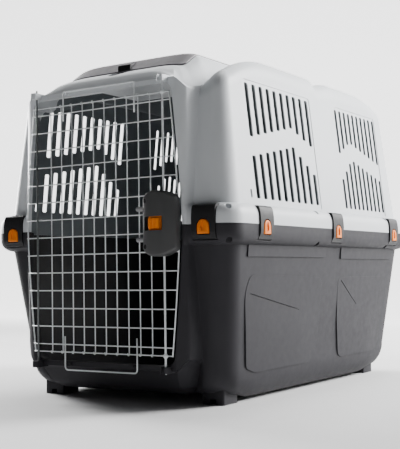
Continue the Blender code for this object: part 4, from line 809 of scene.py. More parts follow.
def add(target, *tools):
    for tool in tools:
        combine(target, tool, "UNION")
    return target


def cut(target, *tools):
    for tool in tools:
        combine(target, tool, "DIFFERENCE")
    return target


def common(target, tool):
    return combine(target, tool, "INTERSECT")


def smooth(item, angle):
    item.data.shade_smooth()
    item.data.set_sharp_from_angle(angle=math.radians(angle))


def set_finishes(mesh, *finishes):
    mesh.materials.clear()
    for finish in finishes:
        mesh.materials.append(finish)


def round_edges(item, width, segments=3, angle=35):
    """Rounds the edges where two faces meet at more than the angle."""
    step = item.modifiers.new("round edges", "BEVEL")
    step.width = width
    step.segments = segments
    step.limit_method = "ANGLE"
    step.angle_limit = math.radians(angle)
    step.use_clamp_overlap = True
    step.harden_normals = True


def show(item, name, finish, body, nodes=(), angle=32):
    """Names a piece, finishes it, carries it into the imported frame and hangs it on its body."""
    item.name = name
    item.data.name = name
    if finish is not None:
        set_finishes(item.data, finish)
    smooth(item, angle)
    item.matrix_world = Matrix.Translation((0.0, SHIFT, 0.0)) @ item.matrix_world
    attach(item, body)
    if nodes:
        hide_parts(*nodes)


def curve_share(knots, share):
    """Smooth interpolation through evenly spaced knots, each a tuple of numbers."""
    place = share * (len(knots) - 1)
    index = min(int(place), len(knots) - 2)
    part = place - index
    a, b = knots[index], knots[index + 1]
    before = knots[index - 1] if index > 0 else tuple(2 * p - q for p, q in zip(a, b))
    after = knots[index + 2] if index + 2 < len(knots) else tuple(2 * q - p for p, q in zip(a, b))
    found = []
    for w, p, q, r in zip(before, a, b, after):
        found.append(p + 0.5 * part * (q - w + part * (2 * w - 5 * p + 4 * q - r
                                                      + part * (3 * (p - q) + r - w))))
    return found


def tube(points, radius, sides=10):
    """Round wire along a line of points, with domed ends."""
    points = [Vector(point) for point in points]
    last = len(points) - 1
    headings = [(points[min(index + 1, last)] - points[max(index - 1, 0)]).normalized()
                for index in range(last + 1)]
    across = headings[0].orthogonal().normalized()
    stations = []
    for point, heading in zip(points, headings):
        across = (across - heading * across.dot(heading)).normalized()
        stations.append((point, heading, across, 1.0))
    cap = DOME_SHARE * radius
    for place, way in ((0, -1), (-1, 1)):
        point, heading, side, _ = stations[place]
        dome = (point + way * cap * heading, heading, side, DOME_SHARE)
        stations = [dome] + stations if way < 0 else stations + [dome]
    rings = []
    for point, heading, side, size in stations:
        other = heading.cross(side)
        rings.append([point + radius * size * (math.cos(angle) * side + math.sin(angle) * other)
                      for angle in turns(sides)])
    return loft(rings)


def joined(items):
    """One mesh from several objects, which are used up."""
    data = bmesh.new()
    for item in items:
        item.data.transform(item.matrix_world)
        data.from_mesh(item.data)
        bpy.data.objects.remove(item, do_unlink=True)
    return from_bmesh(data)


def bend(corner, before, after, radius, steps=5):
    """Points of a rounded bend at a corner between two straight runs."""
    corner, before, after = Vector(corner), Vector(before), Vector(after)
    start = corner + (before - corner).normalized() * radius
    end = corner + (after - corner).normalized() * radius
    return [start.lerp(corner, share).lerp(corner.lerp(end, share), share)
            for share in spread(0.0, 1.0, steps)]


# Shells: the CAD's forms with more points and rounded corners

def plan(inset, radius, z, wall=0.0, frame_y=PORTAL_Y):
    """Right half of a shell's plan, from the middle of the door to the middle of the rear."""
    half_x = SHELL_HALF_WIDTH - inset
    half_y = SHELL_HALF_LENGTH - inset
    frame_half = min(PORTAL_HALF, half_x - radius - PORTAL_MARGIN) - wall
    edge = min(opening_half(z) + OPENING_EDGE, frame_half - PORTAL_MARGIN)
    half_x -= wall
    half_y -= wall
    front = frame_y + wall
    bevel = min(PORTAL_BEVEL, 0.6 * (-half_y - front))
    points = [(edge * share, front) for share in FACE_SHARES]
    for step in range(1, EDGE_STEPS + 1):
        share = math.sin(math.pi / 2 * step / EDGE_STEPS)
        back = mix(share, 1 - math.sqrt(1 - share * share), 0.45)
        points.append((mix(edge, frame_half, share), front + bevel * back))
    room = -half_y - front - bevel
    fillet = min(FRAME_FILLET, 0.45 * room, 0.6 * (half_x - radius - frame_half - PORTAL_SPLAY))
    root = frame_half + PORTAL_SPLAY
    points.append((mix(frame_half, root, 1 - fillet / room), -half_y - fillet))
    points.append((root + 0.25 * fillet, -half_y - 0.25 * fillet))
    points.append((root + fillet, -half_y))
    straight = half_y - radius
    points += arc(half_x - radius, -straight, radius, -90, 0, CORNER_COUNT)
    first = NOTCH_Y + NOTCH_STATIONS[0]
    points += [(half_x, y) for y in spread(-straight, first, 16)[1:-1]]
    points += [(half_x, NOTCH_Y + offset) for offset in NOTCH_STATIONS]
    last = NOTCH_Y + NOTCH_STATIONS[-1]
    points += [(half_x, y) for y in spread(last, straight, 11)[1:-1]]
    points += arc(half_x - radius, straight, radius, 0, 90, CORNER_COUNT)
    return points + [(half_x * share, half_y) for share in REAR_SHARES]


def frame_weight(index):
    """How far a point of the plan follows the door frame's form: wholly, or fading in the fillet."""
    if index < FRAME_COUNT:
        return 1.0
    if index < FRAME_COUNT + len(FILLET_WEIGHTS):
        return FILLET_WEIGHTS[index - FRAME_COUNT]
    return 0.0


def corner_drop(index):
    """Drop of the frame's edge towards its outer corner."""
    if index < len(FACE_SHARES):
        return 0.0
    step = min(index - len(FACE_SHARES) + 1, EDGE_STEPS)
    return PORTAL_CORNER_DROP * math.sin(math.pi / 2 * step / EDGE_STEPS) ** CORNER_DROP_POWER


def skin_loft(rings):
    """Closed quad mesh through half rings, lowest first."""
    data = bmesh.new()
    levels = []
    for ring in rings:
        whole = ring + [(-x, y, z) for x, y, z in reversed(ring[1:-1])]
        levels.append([data.verts.new(point) for point in whole])
    for lower, upper in zip(levels, levels[1:]):
        join_rings(data, lower, upper)
    for level in (levels[0], levels[-1]):
        middle = data.verts.new((0.0, 0.0, level[0].co.z))
        for index, vertex in enumerate(level):
            data.faces.new((middle, vertex, level[index - 1]))
    return keep(data)


def belt(sign):
    """Rings of the belt's rounded section, from the parting plane to its upper or lower edge."""
    rings = []
    for step in spread(0.0, 1.0, BELT_STEPS):
        proud, share = curve_share(BELT_SECTION, step)
        z = PARTING_Z + sign * share * BELT_HALF
        rings.append(level_ring(plan(-max(proud, 0.0) * BELT_PROUD, CORNER_RADIUS, z), z))
    return rings


def upper_plan(z, wall):
    """Plan of the upper shell's wall at height z, drawn in by its draft."""
    inset = max(UPPER_DRAFT * (z - PARTING_Z - BELT_HALF), 0.0)
    return plan(inset, CORNER_RADIUS - 0.5 * inset, z, wall)


def blended_rings(starts, ends, section, across_curve, up_curve):
    """Rings from one ring to another along a quarter turn, or by the door frame's own section."""
    rings = []
    for share in spread(0.0, 1.0, SHOULDER_STEPS):
        frame_across, frame_up = curve_share(section, share)
        angle = math.pi / 2 * share
        ring = []
        for index, (start, end) in enumerate(zip(starts, ends)):
            across = mix(across_curve(angle), frame_across, frame_weight(index))
            up = mix(up_curve(angle), frame_up, frame_weight(index))
            ring.append((mix(start[0], end[0], across), mix(start[1], end[1], across),
                         mix(start[2], end[2], up)))
        rings.append(ring)
    return rings


def lag(angle):
    return 1 - math.cos(angle)


def shoulder(wall, drop):
    """Rings that round the wall over into the roof."""
    crest = plan(RIDGE_INSET, CORNER_RADIUS - 0.5 * RIDGE_INSET, LINTEL_Z, wall, CREST_Y)
    starts, ends = [], []
    for index, (x, y) in enumerate(crest):
        top = roof_z(x, y)
        lip = LINTEL_Z + LIP_HEIGHT - corner_drop(index)
        base = mix(top - SHOULDER_HEIGHT, lip, frame_weight(index))
        starts.append((*upper_plan(top - SHOULDER_HEIGHT, wall)[index], base))
        ends.append((x, y, top))
    rings = blended_rings(starts, ends, FRAME_OVER, lag, math.sin)
    return [[(x, y, z - drop) for x, y, z in ring] for ring in rings]


def clear_of_kinks(ys, kinks, gap):
    """The kinks of the roof, and those of the places that keep the gap from all of them."""
    return [y for y in ys if all(abs(y - kink) > gap for kink in kinks)] + list(kinks)


def roof_stations():
    """Shares of the way from the crest to the spine, with the roof's kinks among them."""
    spine_front = -SPINE_FRONT_SHARE * BODY_LENGTH
    ys = clear_of_kinks(spread(CREST_Y, SLOPE_END_Y, ROOF_FRONT_STEPS)[1:-1], ROOF_KINKS, KINK_GAP)
    shares = sorted((y - CREST_Y) / (spine_front - CREST_Y) for y in ys)
    return shares + spread(shares[-1], 1.0, 12)[1:-1] + [LAST_ROOF_SHARE]


def roof_rings(crest, drop):
    """Rings over the roof, from the crest ring in to its spine."""
    spine_front, spine_rear = -SPINE_FRONT_SHARE * BODY_LENGTH, SPINE_REAR_SHARE * BODY_LENGTH
    rings = []
    for step in roof_stations():
        ring = []
        for x, y, _ in crest:
            inner_x = mix(x, 0.0, step)
            inner_y = mix(y, min(max(y, spine_front), spine_rear), step)
            ring.append((inner_x, inner_y, roof_z(inner_x, inner_y) - drop))
        rings.append(ring)
    return rings


def top_form(wall, drop):
    """Upper shell's outer form, or with a wall and drop the hollow inside it."""
    if wall:
        heights = (PARTING_Z - 0.02, PARTING_Z, BELT_TOP)
        rings = [level_ring(upper_plan(z, wall), z) for z in heights]
    else:
        rings = belt(1)
    rings += [level_ring(upper_plan(z, wall), z) for z in spread(BELT_TOP, LINTEL_Z - 0.01, 6)[1:-1]]
    rings += shoulder(wall, drop)
    return skin_loft(rings + roof_rings(rings[-1], drop))


def lower_ring(z, wall):
    inset = max(LOWER_DRAFT * (PARTING_Z - BELT_HALF - z), 0.0)
    return level_ring(plan(inset, CORNER_RADIUS + 0.2 * inset, z, wall), z)


def floor_rings(wall, lift):
    """Rings that round the floor up into the wall."""
    floor = plan(FLOOR_INSET, CORNER_RADIUS + 0.2 * FLOOR_INSET, SILL_Z, wall,
                 -SHELL_HALF_LENGTH + FLOOR_FRONT_INSET)
    starts = [(x, y, floor_z(y) + lift) for x, y in floor]
    ends = []
    for index, (x, y, z) in enumerate(lower_ring(BOTTOM_EDGE_Z, wall)):
        lip = SILL_Z - LIP_HEIGHT + corner_drop(index)
        ends.append((x, y, mix(z, lip, frame_weight(index))))
    return blended_rings(starts, ends, FRAME_UNDER, math.sin, lag)


def bottom_form(wall, lift):
    """Lower shell's outer form, or with a wall and lift the hollow inside it."""
    rings = floor_rings(wall, lift) + [lower_ring(z, wall) for z in spread(SILL_Z, BELT_FOOT, 6)[1:-1]]
    if wall:
        return skin_loft(rings + [lower_ring(z, wall) for z in (BELT_FOOT, PARTING_Z + 0.02)])
    return skin_loft(rings + list(reversed(belt(-1))))


def round_doorway(sign, grow, start, near, far):
    """Upper or lower half of the doorway as a solid, with bowed sides and rounded corners."""
    reach = opening_reach(sign)
    right = []
    for share in spread(start / reach, 1 - OPENING_CORNER / reach, DOORWAY_STEPS):
        z = PARTING_Z + sign * reach * share
        right.append((opening_half(z) + grow, z))
    top_x, top_z = right[-1]
    for x, rise in arc(top_x - grow - OPENING_CORNER, 0.0, OPENING_CORNER + grow, 0, 90, 10)[1:]:
        right.append((x, top_z + sign * rise))
    return prism(mirrored(right), 1, near, far)


def round_frame(shell, sign):
    """Rim round the doorway, with the holes for the hinge rod and the bolt, the bolt's open in front."""
    add(shell, round_doorway(sign, RIM_THICKNESS, -OVERLAP, PORTAL_Y + 0.0012, PORTAL_Y + RIM_DEPTH))
    cut(shell, round_doorway(sign, 0.0, -PAST_FACE, PORTAL_Y - THROUGH, PORTAL_Y + THROUGH))
    low, high = edge_z(sign) - HOLE_REACH, edge_z(sign) + HOLE_REACH
    radius = ROD_RADIUS + CLEARANCE
    holes = [((-ROD_X, HINGE_Y, low), (-ROD_X, HINGE_Y, high), radius),
             ((ROD_X, BOLT_Y, low), (ROD_X, BOLT_Y, high), radius + CLEARANCE)]
    cut(shell, rods(holes, ROD_SIDES))
    slot = radius + 2 * CLEARANCE
    cut(shell, box((ROD_X - slot, BOLT_Y - PAST_FACE, low), (ROD_X + slot, BOLT_Y, high)))


def round_boss(sign, x):
    """Block for the rod at x, above the lintel or below the sill, with rounded front corners."""
    edge = edge_z(sign) + sign * OVERLAP
    low, high = sorted((edge, edge + sign * BOSS_HEIGHT))
    front, back = BOLT_Y - BOSS_FRONT, PORTAL_Y + BOSS_DEPTH
    outline = [(x - BOSS_HALF, back)]
    outline += arc(x - BOSS_HALF + BOSS_ROUND, front + BOSS_ROUND, BOSS_ROUND, 180, 270, 5)
    outline += arc(x + BOSS_HALF - BOSS_ROUND, front + BOSS_ROUND, BOSS_ROUND, 270, 360, 5)
    return prism(outline + [(x + BOSS_HALF, back)], 2, low, high)


def wall_x(z, sign):
    """Outer face of the side walls at height z, of the upper (sign 1) or lower (sign -1) shell."""
    draft, edge = (UPPER_DRAFT, BELT_TOP) if sign > 0 else (LOWER_DRAFT, BELT_FOOT)
    return SHELL_HALF_WIDTH - draft * abs(z - edge)


def on_side(outline, out, depth, side, sign):
    """Solid on a side wall: a y-z outline, from out proud of the wall to depth below its face."""
    solid = prism(outline, 0, -depth, out)
    for vertex in solid.data.vertices:
        x, y, z = vertex.co
        vertex.co = (side * (wall_x(z, sign) + x), y, z)
    data = bmesh.new()
    data.from_mesh(solid.data)
    bpy.data.objects.remove(solid, do_unlink=True)
    return keep(data)


def rectangle(first_low, first_high, second_low, second_high):
    return [(first_low, second_low), (first_high, second_low), (first_high, second_high),
            (first_low, second_high)]


def rounded_outline(points, radii, steps=6):
    """Closed outline with each of its corners rounded by its own radius."""
    rounded = []
    for index, (point, radius) in enumerate(zip(points, radii)):
        if radius <= 0.0:
            rounded.append(point)
            continue
        before, after = points[index - 1], points[(index + 1) % len(points)]
        rounded += [(p.x, p.y) for p in bend((*point, 0.0), (*before, 0.0), (*after, 0.0), radius, steps)]
    return rounded


def vent_spans():
    """Start, pitch, width, columns, peak column and falls of the front and the rear vent panel."""
    rear_start = HALF_LENGTH - REAR_VENT_MARGIN - (REAR_VENT_COLUMNS - 1) * REAR_VENT_PITCH
    return ((-HALF_LENGTH + FRONT_VENT_MARGIN, FRONT_VENT_PITCH, FRONT_VENT_WIDTH,
             FRONT_VENT_COLUMNS, FRONT_VENT_PEAK, FRONT_VENT_FALLS),
            (rear_start, REAR_VENT_PITCH, REAR_VENT_WIDTH,
             REAR_VENT_COLUMNS, REAR_VENT_PEAK, REAR_VENT_FALLS))


def vent_panel_slots():
    """Slots of both panels, and shallow lines that join the front ones over the band."""
    floor = BELT_TOP + VENT_BOTTOM_MARGIN
    top = RIDGE_Z - VENT_TOP_MARGIN
    peak = mix(floor, top, VENT_BAND_SHARE)
    slots, lines = [], []
    for start, pitch, width, columns, middle, falls in vent_spans():
        for index in range(columns):
            y = start + index * pitch
            away = abs(index - middle)
            side = 0 if index < middle else 1
            upper_low = peak - away * falls[side]
            lower_high = peak - VENT_BAND - away * falls[2 + side]
            for low, high in ((upper_low, top), (floor, lower_high)):
                slots.append((y - SLOT_SHARE * width, y + SLOT_SHARE * width, low, high))
            if width == FRONT_VENT_WIDTH:
                lines.append((y + width / 2 - VENT_LINE_WIDTH, y + width / 2,
                              lower_high - VENT_LINE_OVER, upper_low + VENT_LINE_OVER))
    first = vent_spans()[0][0] - FRONT_VENT_PITCH
    slots.append((first - 0.003, first + 0.004, floor, floor + 0.018))
    return slots, lines


def slot_cutters(slots, through):
    """Cutters for slots right through both side walls, or for shallow lines in them."""
    pieces = []
    for y_low, y_high, low, high in slots:
        radius = min(SLOT_ROUND, 0.45 * (y_high - y_low)) if through else 0.0
        outline = rounded_outline(rectangle(y_low, y_high, low, high), (radius,) * 4, 4)
        for side in (-1, 1):
            pieces.append(on_side(outline, PAST_FACE, VENT_CUT_DEPTH if through else LINE_DEPTH, side, 1))
    return joined(pieces)


def vent_borders():
    """Shallow steps round the vent panels."""
    low, high = BELT_TOP + 0.004, RIDGE_Z - VENT_TOP_MARGIN + 0.007
    front, rear = [span[0] for span in vent_spans()]
    front_end = front + FRONT_VENT_SPAN * FRONT_VENT_PITCH
    rear_end = HALF_LENGTH - REAR_VENT_MARGIN + 0.010
    panels = (((front - 0.023, low), (front_end, low), (front_end, high), (front - 0.018, high)),
              rectangle(rear - 0.010, rear_end, low, high))
    pieces = []
    for panel in panels:
        outline = rounded_outline(panel, VENT_TOP_ROUNDS, 8)
        pieces += [on_side(outline, PAST_FACE, BORDER_DEPTH, side, 1) for side in (-1, 1)]
    return joined(pieces)


def belt_holes(sign):
    """Vertical screw holes in the belt's rounded edge."""
    ends = sorted(PARTING_Z + sign * rise for rise in BELT_HOLE_RISE)
    spots = []
    for y in BELT_HOLES:
        x = HALF_WIDTH - BELT_HOLE_IN - (FRONT_HOLE_INSET if y < -0.4 else 0.0)
        spots += [(-x, y), (x, y)]
    return bars(spots, 2, *ends, BELT_HOLE_RADIUS, PIN_SIDES)


def scoop_solid(grow, drop):
    """Squashed ball that hollows the roof ahead of the lid, grown and lowered for its underside."""
    y = LID_FRONT_Y - SCOOP_AHEAD
    centre = (0.0, y, roof_z(0.0, y) - drop)
    radii = (SCOOP_HALF + grow, SCOOP_REACH + 0.004 + grow, SCOOP_DEPTH + grow)
    data = bmesh.new()
    bmesh.ops.create_uvsphere(data, u_segments=40, v_segments=20, radius=1.0)
    for vertex in data.verts:
        vertex.co = [centre[a] + radii[a] * vertex.co[a] for a in range(3)]
    return keep(data)


def cut_roof(shell):
    """Lid rebate, tray, hinge gaps and keeper, as in the CAD source, and the finger scoop."""
    rear = LID_HINGE_Y - HINGE_SETBACK + LID_EDGE_GAP
    half = LID_HALF + LID_EDGE_GAP
    front = LID_FRONT_Y - LID_EDGE_GAP
    depth = LID_THICKNESS + CLEARANCE - LID_PROUD
    rebate = dense_slab(half, front, rear, offset_roof(-depth), offset_roof(0.03))
    outline = fine_rectangle(half, front, rear, LID_CORNER + LID_EDGE_GAP)
    cut(shell, common(rebate, prism(outline, 2, HUMP_Z - 0.2, HUMP_Z + 0.2)))
    tray = fine_rectangle(TRAY_HALF, *tray_span(0.0), TRAY_CORNER)
    cut(shell, prism(tray, 2, TRAY_FLOOR_Z, HUMP_Z + THROUGH))
    swing = KNUCKLE_RADIUS + 2 * CLEARANCE
    cut(shell, hinge_blocks(KNUCKLE_LENGTH / 2 + CLEARANCE, LID_HINGE_Y - swing - 0.006,
                            LID_HINGE_Y + swing, -swing, 0.02))
    cut(shell, hinge_bars(ear_reach() - 0.0015, HINGE_PIN_RADIUS + CLEARANCE, PIN_SIDES))
    cut(shell, slope_boxes([catch_keeper()]))
    cut(shell, scoop_solid(0.0, 0.0))


def grid_solid(layers):
    """Closed solid between two grids of points with the same rows and columns."""
    data = bmesh.new()
    layers = [[[data.verts.new(point) for point in line] for line in layer] for layer in layers]
    rims = []
    for layer in layers:
        for lower, upper in zip(layer, layer[1:]):
            for column in range(len(lower) - 1):
                data.faces.new((lower[column], lower[column + 1], upper[column + 1], upper[column]))
        rim = layer[0] + [line[-1] for line in layer[1:]] + layer[-1][-2::-1]
        rims.append(rim + [line[0] for line in layer[-2:0:-1]])
    join_rings(data, *rims)
    return keep(data)


def dense_slab(half, y_low, y_high, low, high):
    """Solid between two heights given as functions of x and y, with a fine grid."""
    ys = spread(y_low, y_high, 44)
    kinks = [y for y in ROOF_KINKS if y_low < y < y_high]
    ys = sorted([ys[0], ys[-1]] + clear_of_kinks(ys[1:-1], kinks, SLAB_KINK_GAP))
    xs = [half * math.sin(math.pi / 2 * step / 16) for step in range(-16, 17)]
    return grid_solid([[[(x, y, surface(x, y)) for x in xs] for y in ys] for surface in (low, high)])


def fine_rectangle(half, low, high, radius):
    side = arc(half - radius, low + radius, radius, -90, 0, 10)
    side += arc(half - radius, high - radius, radius, 0, 90, 10)
    return mirrored(side)


def hang_tray(shell):
    """Tray under the lid, the ears that hold its pins, and the underside of the scoop."""
    front = LID_FRONT_Y + TRAY_FRONT_MARGIN - TRAY_FRONT_WALL
    rear = tray_span(WALL)[1]
    add(shell, dense_slab(TRAY_HALF + WALL, front, rear, lambda x, y: TRAY_FLOOR_Z - WALL,
                          offset_roof(-0.45 * ROOF_WALL)))
    add(shell, hinge_blocks(ear_reach(), rear - OVERLAP, LID_HINGE_Y + 0.010, -EAR_DEPTH, -0.4 * ROOF_WALL))
    add(shell, hinge_bars(ear_reach(), KNUCKLE_RADIUS))
    under = dense_slab(0.04, LID_FRONT_Y - 0.075, LID_FRONT_Y + 0.045, offset_roof(-0.03),
                       offset_roof(-0.0008))
    add(shell, common(scoop_solid(SCOOP_WALL, OVERLAP), under))


def paint_inside_shade(shell, outside, inside, centre_z):
    """Inner faces, which look towards the middle of the crate, take a darker copy of the shell's finish:
    painted shade for the crate's shadowed inside.
    """
    set_finishes(shell.data, outside, inside)
    for face in shell.data.polygons:
        x, y, z = face.center
        toward = Vector((-x, -y * 0.8, centre_z - z)).normalized()
        # faces that look inward and lie inside the wall get the darker finish, painted shade
        inner = face.normal.dot(toward) > 0.25 and inside_body(x, y, z)
        face.material_index = 1 if inner else 0


def inside_body(x, y, z):
    """Whether a point lies on the inner side of the shells' wall."""
    upper = z > PARTING_Z
    if upper and y < INSIDE_FRONT_Y and z > LINTEL_Z - 0.03:
        return False
    draft = UPPER_DRAFT if upper else LOWER_DRAFT
    inset = max(draft * (abs(z - PARTING_Z) - BELT_HALF), 0.0) + 0.6 * WALL
    if abs(x) > SHELL_HALF_WIDTH - inset or y > SHELL_HALF_LENGTH - inset or y < PORTAL_Y + 0.0125:
        return False
    if upper and abs(x) < SHELL_HALF_WIDTH - RIDGE_INSET:
        return z < roof_z(x, y) - 0.6 * ROOF_WALL and not on_tray(x, y)
    return True


def on_tray(x, y):
    front, rear = tray_span(OVERLAP)
    return abs(x) < TRAY_HALF + OVERLAP and front < y < rear


def level_cut(shell, sign):
    """Ends a shell at the parting plane, with half the gap."""
    face = PARTING_Z + sign * PARTING_GAP / 2
    low, high = sorted((face, face - sign * THROUGH))
    cut(shell, box((-1, -1, low), (1, 1, high)))


def lip_notches(sign):
    """Clearance for the stop loop's legs in the frame's lip."""
    low, high = sorted((edge_z(sign) - sign * 0.004, edge_z(sign) + sign * 0.0145))
    return boxes([((x - 0.005, PORTAL_Y - 0.01, low), (x + 0.005, PORTAL_Y + 0.0022, high))
                  for x in (-LOOP_HALF, LOOP_HALF)])


def studs(sign):
    """Round studs on the door frame, just inside the legs of the stop loop."""
    z = edge_z(sign) + sign * STUD_OFFSET
    return bars([(-STUD_X, z), (STUD_X, z)], 1, PORTAL_Y + 0.002, PORTAL_Y - STUD_LENGTH, STUD_RADIUS, 18)


def make_top(outside, inside):
    shell = top_form(0.0, 0.0)
    add(shell, round_boss(1, ROD_X), round_boss(1, -ROD_X), studs(1))
    cut(shell, top_form(WALL, ROOF_WALL))
    hang_tray(shell)
    round_frame(shell, 1)
    slots, lines = vent_panel_slots()
    cut(shell, vent_borders(), slot_cutters(slots, True), slot_cutters(lines, False))
    cut_clip_pockets(shell, True)
    cut_roof(shell)
    cut(shell, belt_holes(1))
    level_cut(shell, 1)
    # inner faces take the darker light-plastic copy, painted shade
    paint_inside_shade(shell, outside, inside, 0.45)
    show(shell, "top_shell_skin", None, "shells", ["top_shell"], 30)


def faded_panel(outline, radii, fade, side):
    """Panel that stands proud of the wall where fade is 1 and hardly shows where it is 0."""
    ys, zs = zip(*outline)
    ys = spread(min(ys) - PANEL_MARGIN, max(ys) + PANEL_MARGIN, 40)
    zs = spread(min(zs) - PANEL_MARGIN, max(zs) + PANEL_MARGIN, 30)
    layers = [[[(side * (wall_x(z, -1) + out(y, z)), y, z) for y in ys] for z in zs]
              for out in (lambda y, z: -0.002, lambda y, z: mix(PANEL_SUNK, PANEL_PROUD, fade(y, z)))]
    shape = on_side(rounded_outline(outline, radii), PAST_FACE, PAST_FACE, side, -1)
    return common(grid_solid(layers), shape)


def big_fade(y, z):
    return smoothstep((0.262 - z) / 0.14) * smoothstep((0.02 - y + 0.35 * (0.12 - z)) / 0.16)


def rear_fade(y, z):
    return smoothstep((0.215 - z) / 0.10) * smoothstep((0.345 - y) / 0.10)


def side_reliefs():
    """Moulded reliefs of the lower shell's sides, each a closed solid."""
    pieces = []
    for side in (-1, 1):
        for outline, radii, fade in ((BIG_PANEL, BIG_PANEL_RADII, big_fade),
                                     (REAR_PANEL, REAR_PANEL_RADII, rear_fade)):
            pieces.append(faded_panel(outline, radii, fade, side))
        for y_low, y_high, low in STRIPS:
            outline = rectangle(y_low, y_high, low, BELT_FOOT + PANEL_MARGIN)
            pieces.append(on_side(outline, STRIP_PROUD, OVERLAP, side, -1))
    return pieces


def crease_cutters():
    """Fine slanting lines scored in the lower shell's sides."""
    pieces = []
    for (y0, z0), (y1, z1) in CREASES:
        along = Vector((y1 - y0, z1 - z0)).normalized()
        over = Vector((-along.y, along.x)) * CREASE_HALF
        outline = [(y0 - over.x, z0 - over.y), (y1 - 0.4 * over.x, z1 - 0.4 * over.y),
                   (y1 + 0.4 * over.x, z1 + 0.4 * over.y), (y0 + over.x, z0 + over.y)]
        pieces += [on_side(outline, PAST_FACE, CREASE_DEPTH, side, -1) for side in (-1, 1)]
    return joined(pieces)


def make_bottom(outside, inside):
    shell = bottom_form(0.0, 0.0)
    add(shell, foot_blocks(), round_boss(-1, ROD_X), round_boss(-1, -ROD_X), studs(-1), *side_reliefs())
    cut(shell, bottom_form(WALL, WALL), wheel_slots(), crease_cutters())
    round_frame(shell, -1)
    cut(shell, lip_notches(-1))
    cut_clip_pockets(shell, False)
    cut(shell, belt_holes(-1))
    level_cut(shell, -1)
    # inner faces take the darker dark-plastic copy, painted shade
    paint_inside_shade(shell, outside, inside, 0.25)
    show(shell, "bottom_shell_skin", None, "shells", ["bottom_shell"], 30)


def foot_blocks():
    """Feet with rounded upright corners."""
    pieces = []
    for y_low, y_high in foot_spans():
        for side in (-1, 1):
            xs = sorted((side * FOOT_HALF_SPREAD, side * (FOOT_HALF_SPREAD - FOOT_WIDTH)))
            outline = rounded_outline(rectangle(*xs, y_low, y_high), (FOOT_ROUND,) * 4, 4)
            pieces.append(prism(outline, 2, 0.0, FOOT_TOP))
    return joined(pieces)


# Lid and catch

def make_lid_skin(finish):
    rear = LID_HINGE_Y - HINGE_SETBACK
    half, front = LID_HALF - LID_SEAM, LID_FRONT_Y + LID_SEAM
    lid = dense_slab(half, front, rear, offset_roof(LID_PROUD - LID_THICKNESS), offset_roof(LID_PROUD))
    outline = fine_rectangle(half, front, rear, LID_CORNER)
    common(lid, prism(outline, 2, HUMP_Z - 0.2, HUMP_Z + 0.2))
    half = KNUCKLE_LENGTH / 2
    arms = hinge_blocks(half, rear - 0.002, LID_HINGE_Y, -0.8 * LID_THICKNESS, 0.0)
    add(lid, add(hinge_bars(half, KNUCKLE_RADIUS), arms))
    cut(lid, hinge_bars(HOLE_REACH, HINGE_PIN_RADIUS + CLEARANCE, PIN_SIDES))
    low, high = catch_stem_span()
    half = CATCH_STEM_HALF + CLEARANCE
    slot = ((-half, low - CLEARANCE, -0.02), (half, high + CATCH_TRAVEL + CLEARANCE, 0.02))
    cut(lid, slope_boxes([slot]))
    show(lid, "storage_lid_skin", finish, "lid", ["storage_lid"], 30)


def make_catch_skin(tab_finish, bar_finish):
    """Finger tab with rounded edges on its sliding bar, with the stem, foot and tongue below it."""
    face, _, foot_top, foot_low = catch_levels()
    low, high = catch_stem_span()
    outline = rounded_outline([(y, z + face) for y, z in CATCH_TAB], CATCH_TAB_RADII, 3)
    tab = prism(outline, 0, -CATCH_HALF, CATCH_HALF)
    tab.data.transform(slope_frame())
    round_edges(tab, 0.0008)
    show(tab, "lid_catch_tab", tab_finish, "lid_catch", ())

    def part(half, y_low, y_high, z_low, z_high):
        return slope_boxes([((-half, y_low, z_low), (half, y_high, z_high))])

    middle = (low + high) / 2
    start, end = middle - CATCH_FOOT_LENGTH / 2, middle + CATCH_FOOT_LENGTH / 2
    bar = part(CATCH_BAR_HALF, 0.001, CATCH_LENGTH, face, face + CATCH_THICKNESS)
    foot = part(CATCH_FOOT_HALF, start, end, foot_low, foot_top)
    tongue = part(CATCH_FOOT_HALF, start - CATCH_TONGUE, start + 0.001, foot_low,
                  foot_low + CATCH_TONGUE_HEIGHT)
    stem = part(CATCH_STEM_HALF, low, high, foot_low + 0.001, face + 0.0006)
    add(bar, add(foot, tongue), stem)
    round_edges(bar, 0.0004, 2)
    show(bar, "lid_catch_bar", bar_finish, "lid_catch", ["lid_catch"])


# Door

def hooked_wire(x, low, high):
    """Upright wire behind the cross wires, with its ends bent round the first and last of them."""
    reach = 2.0 * THIN_WIRE
    bow = HOOK_BOW * reach
    path = ((HORIZONTAL_Y - HOOK_BACK * reach, -0.0022), (HORIZONTAL_Y - reach, 0.0),
            (HORIZONTAL_Y - bow, bow), (HORIZONTAL_Y, reach), (HORIZONTAL_Y + bow, bow),
            (VERTICAL_Y, -0.0006), (VERTICAL_Y, -0.008))
    lower = [(x, y, low - rise) for y, rise in path]
    upper = [(x, y, high + rise) for y, rise in path]
    return tube(lower + upper[::-1], THIN_WIRE)


def loop_wire(sign):
    """Stop loop above (sign 1) or below (sign -1) the door, with two rounded corners."""
    end = edge_z(sign) + sign * (LOOP_TOP_REACH if sign > 0 else LOOP_BOTTOM_REACH)
    root = (DOOR_TOP_Z if sign > 0 else DOOR_BOTTOM_Z) - sign * LOOP_DROP
    a, b, c, d = [(x, HORIZONTAL_Y, z) for x, z in ((-LOOP_HALF, root), (-LOOP_HALF, end),
                                                    (LOOP_HALF, end), (LOOP_HALF, root))]
    return tube([a] + bend(b, a, c, LOOP_BEND) + bend(c, b, d, LOOP_BEND) + [d], THIN_WIRE + LOOP_EXTRA, 12)


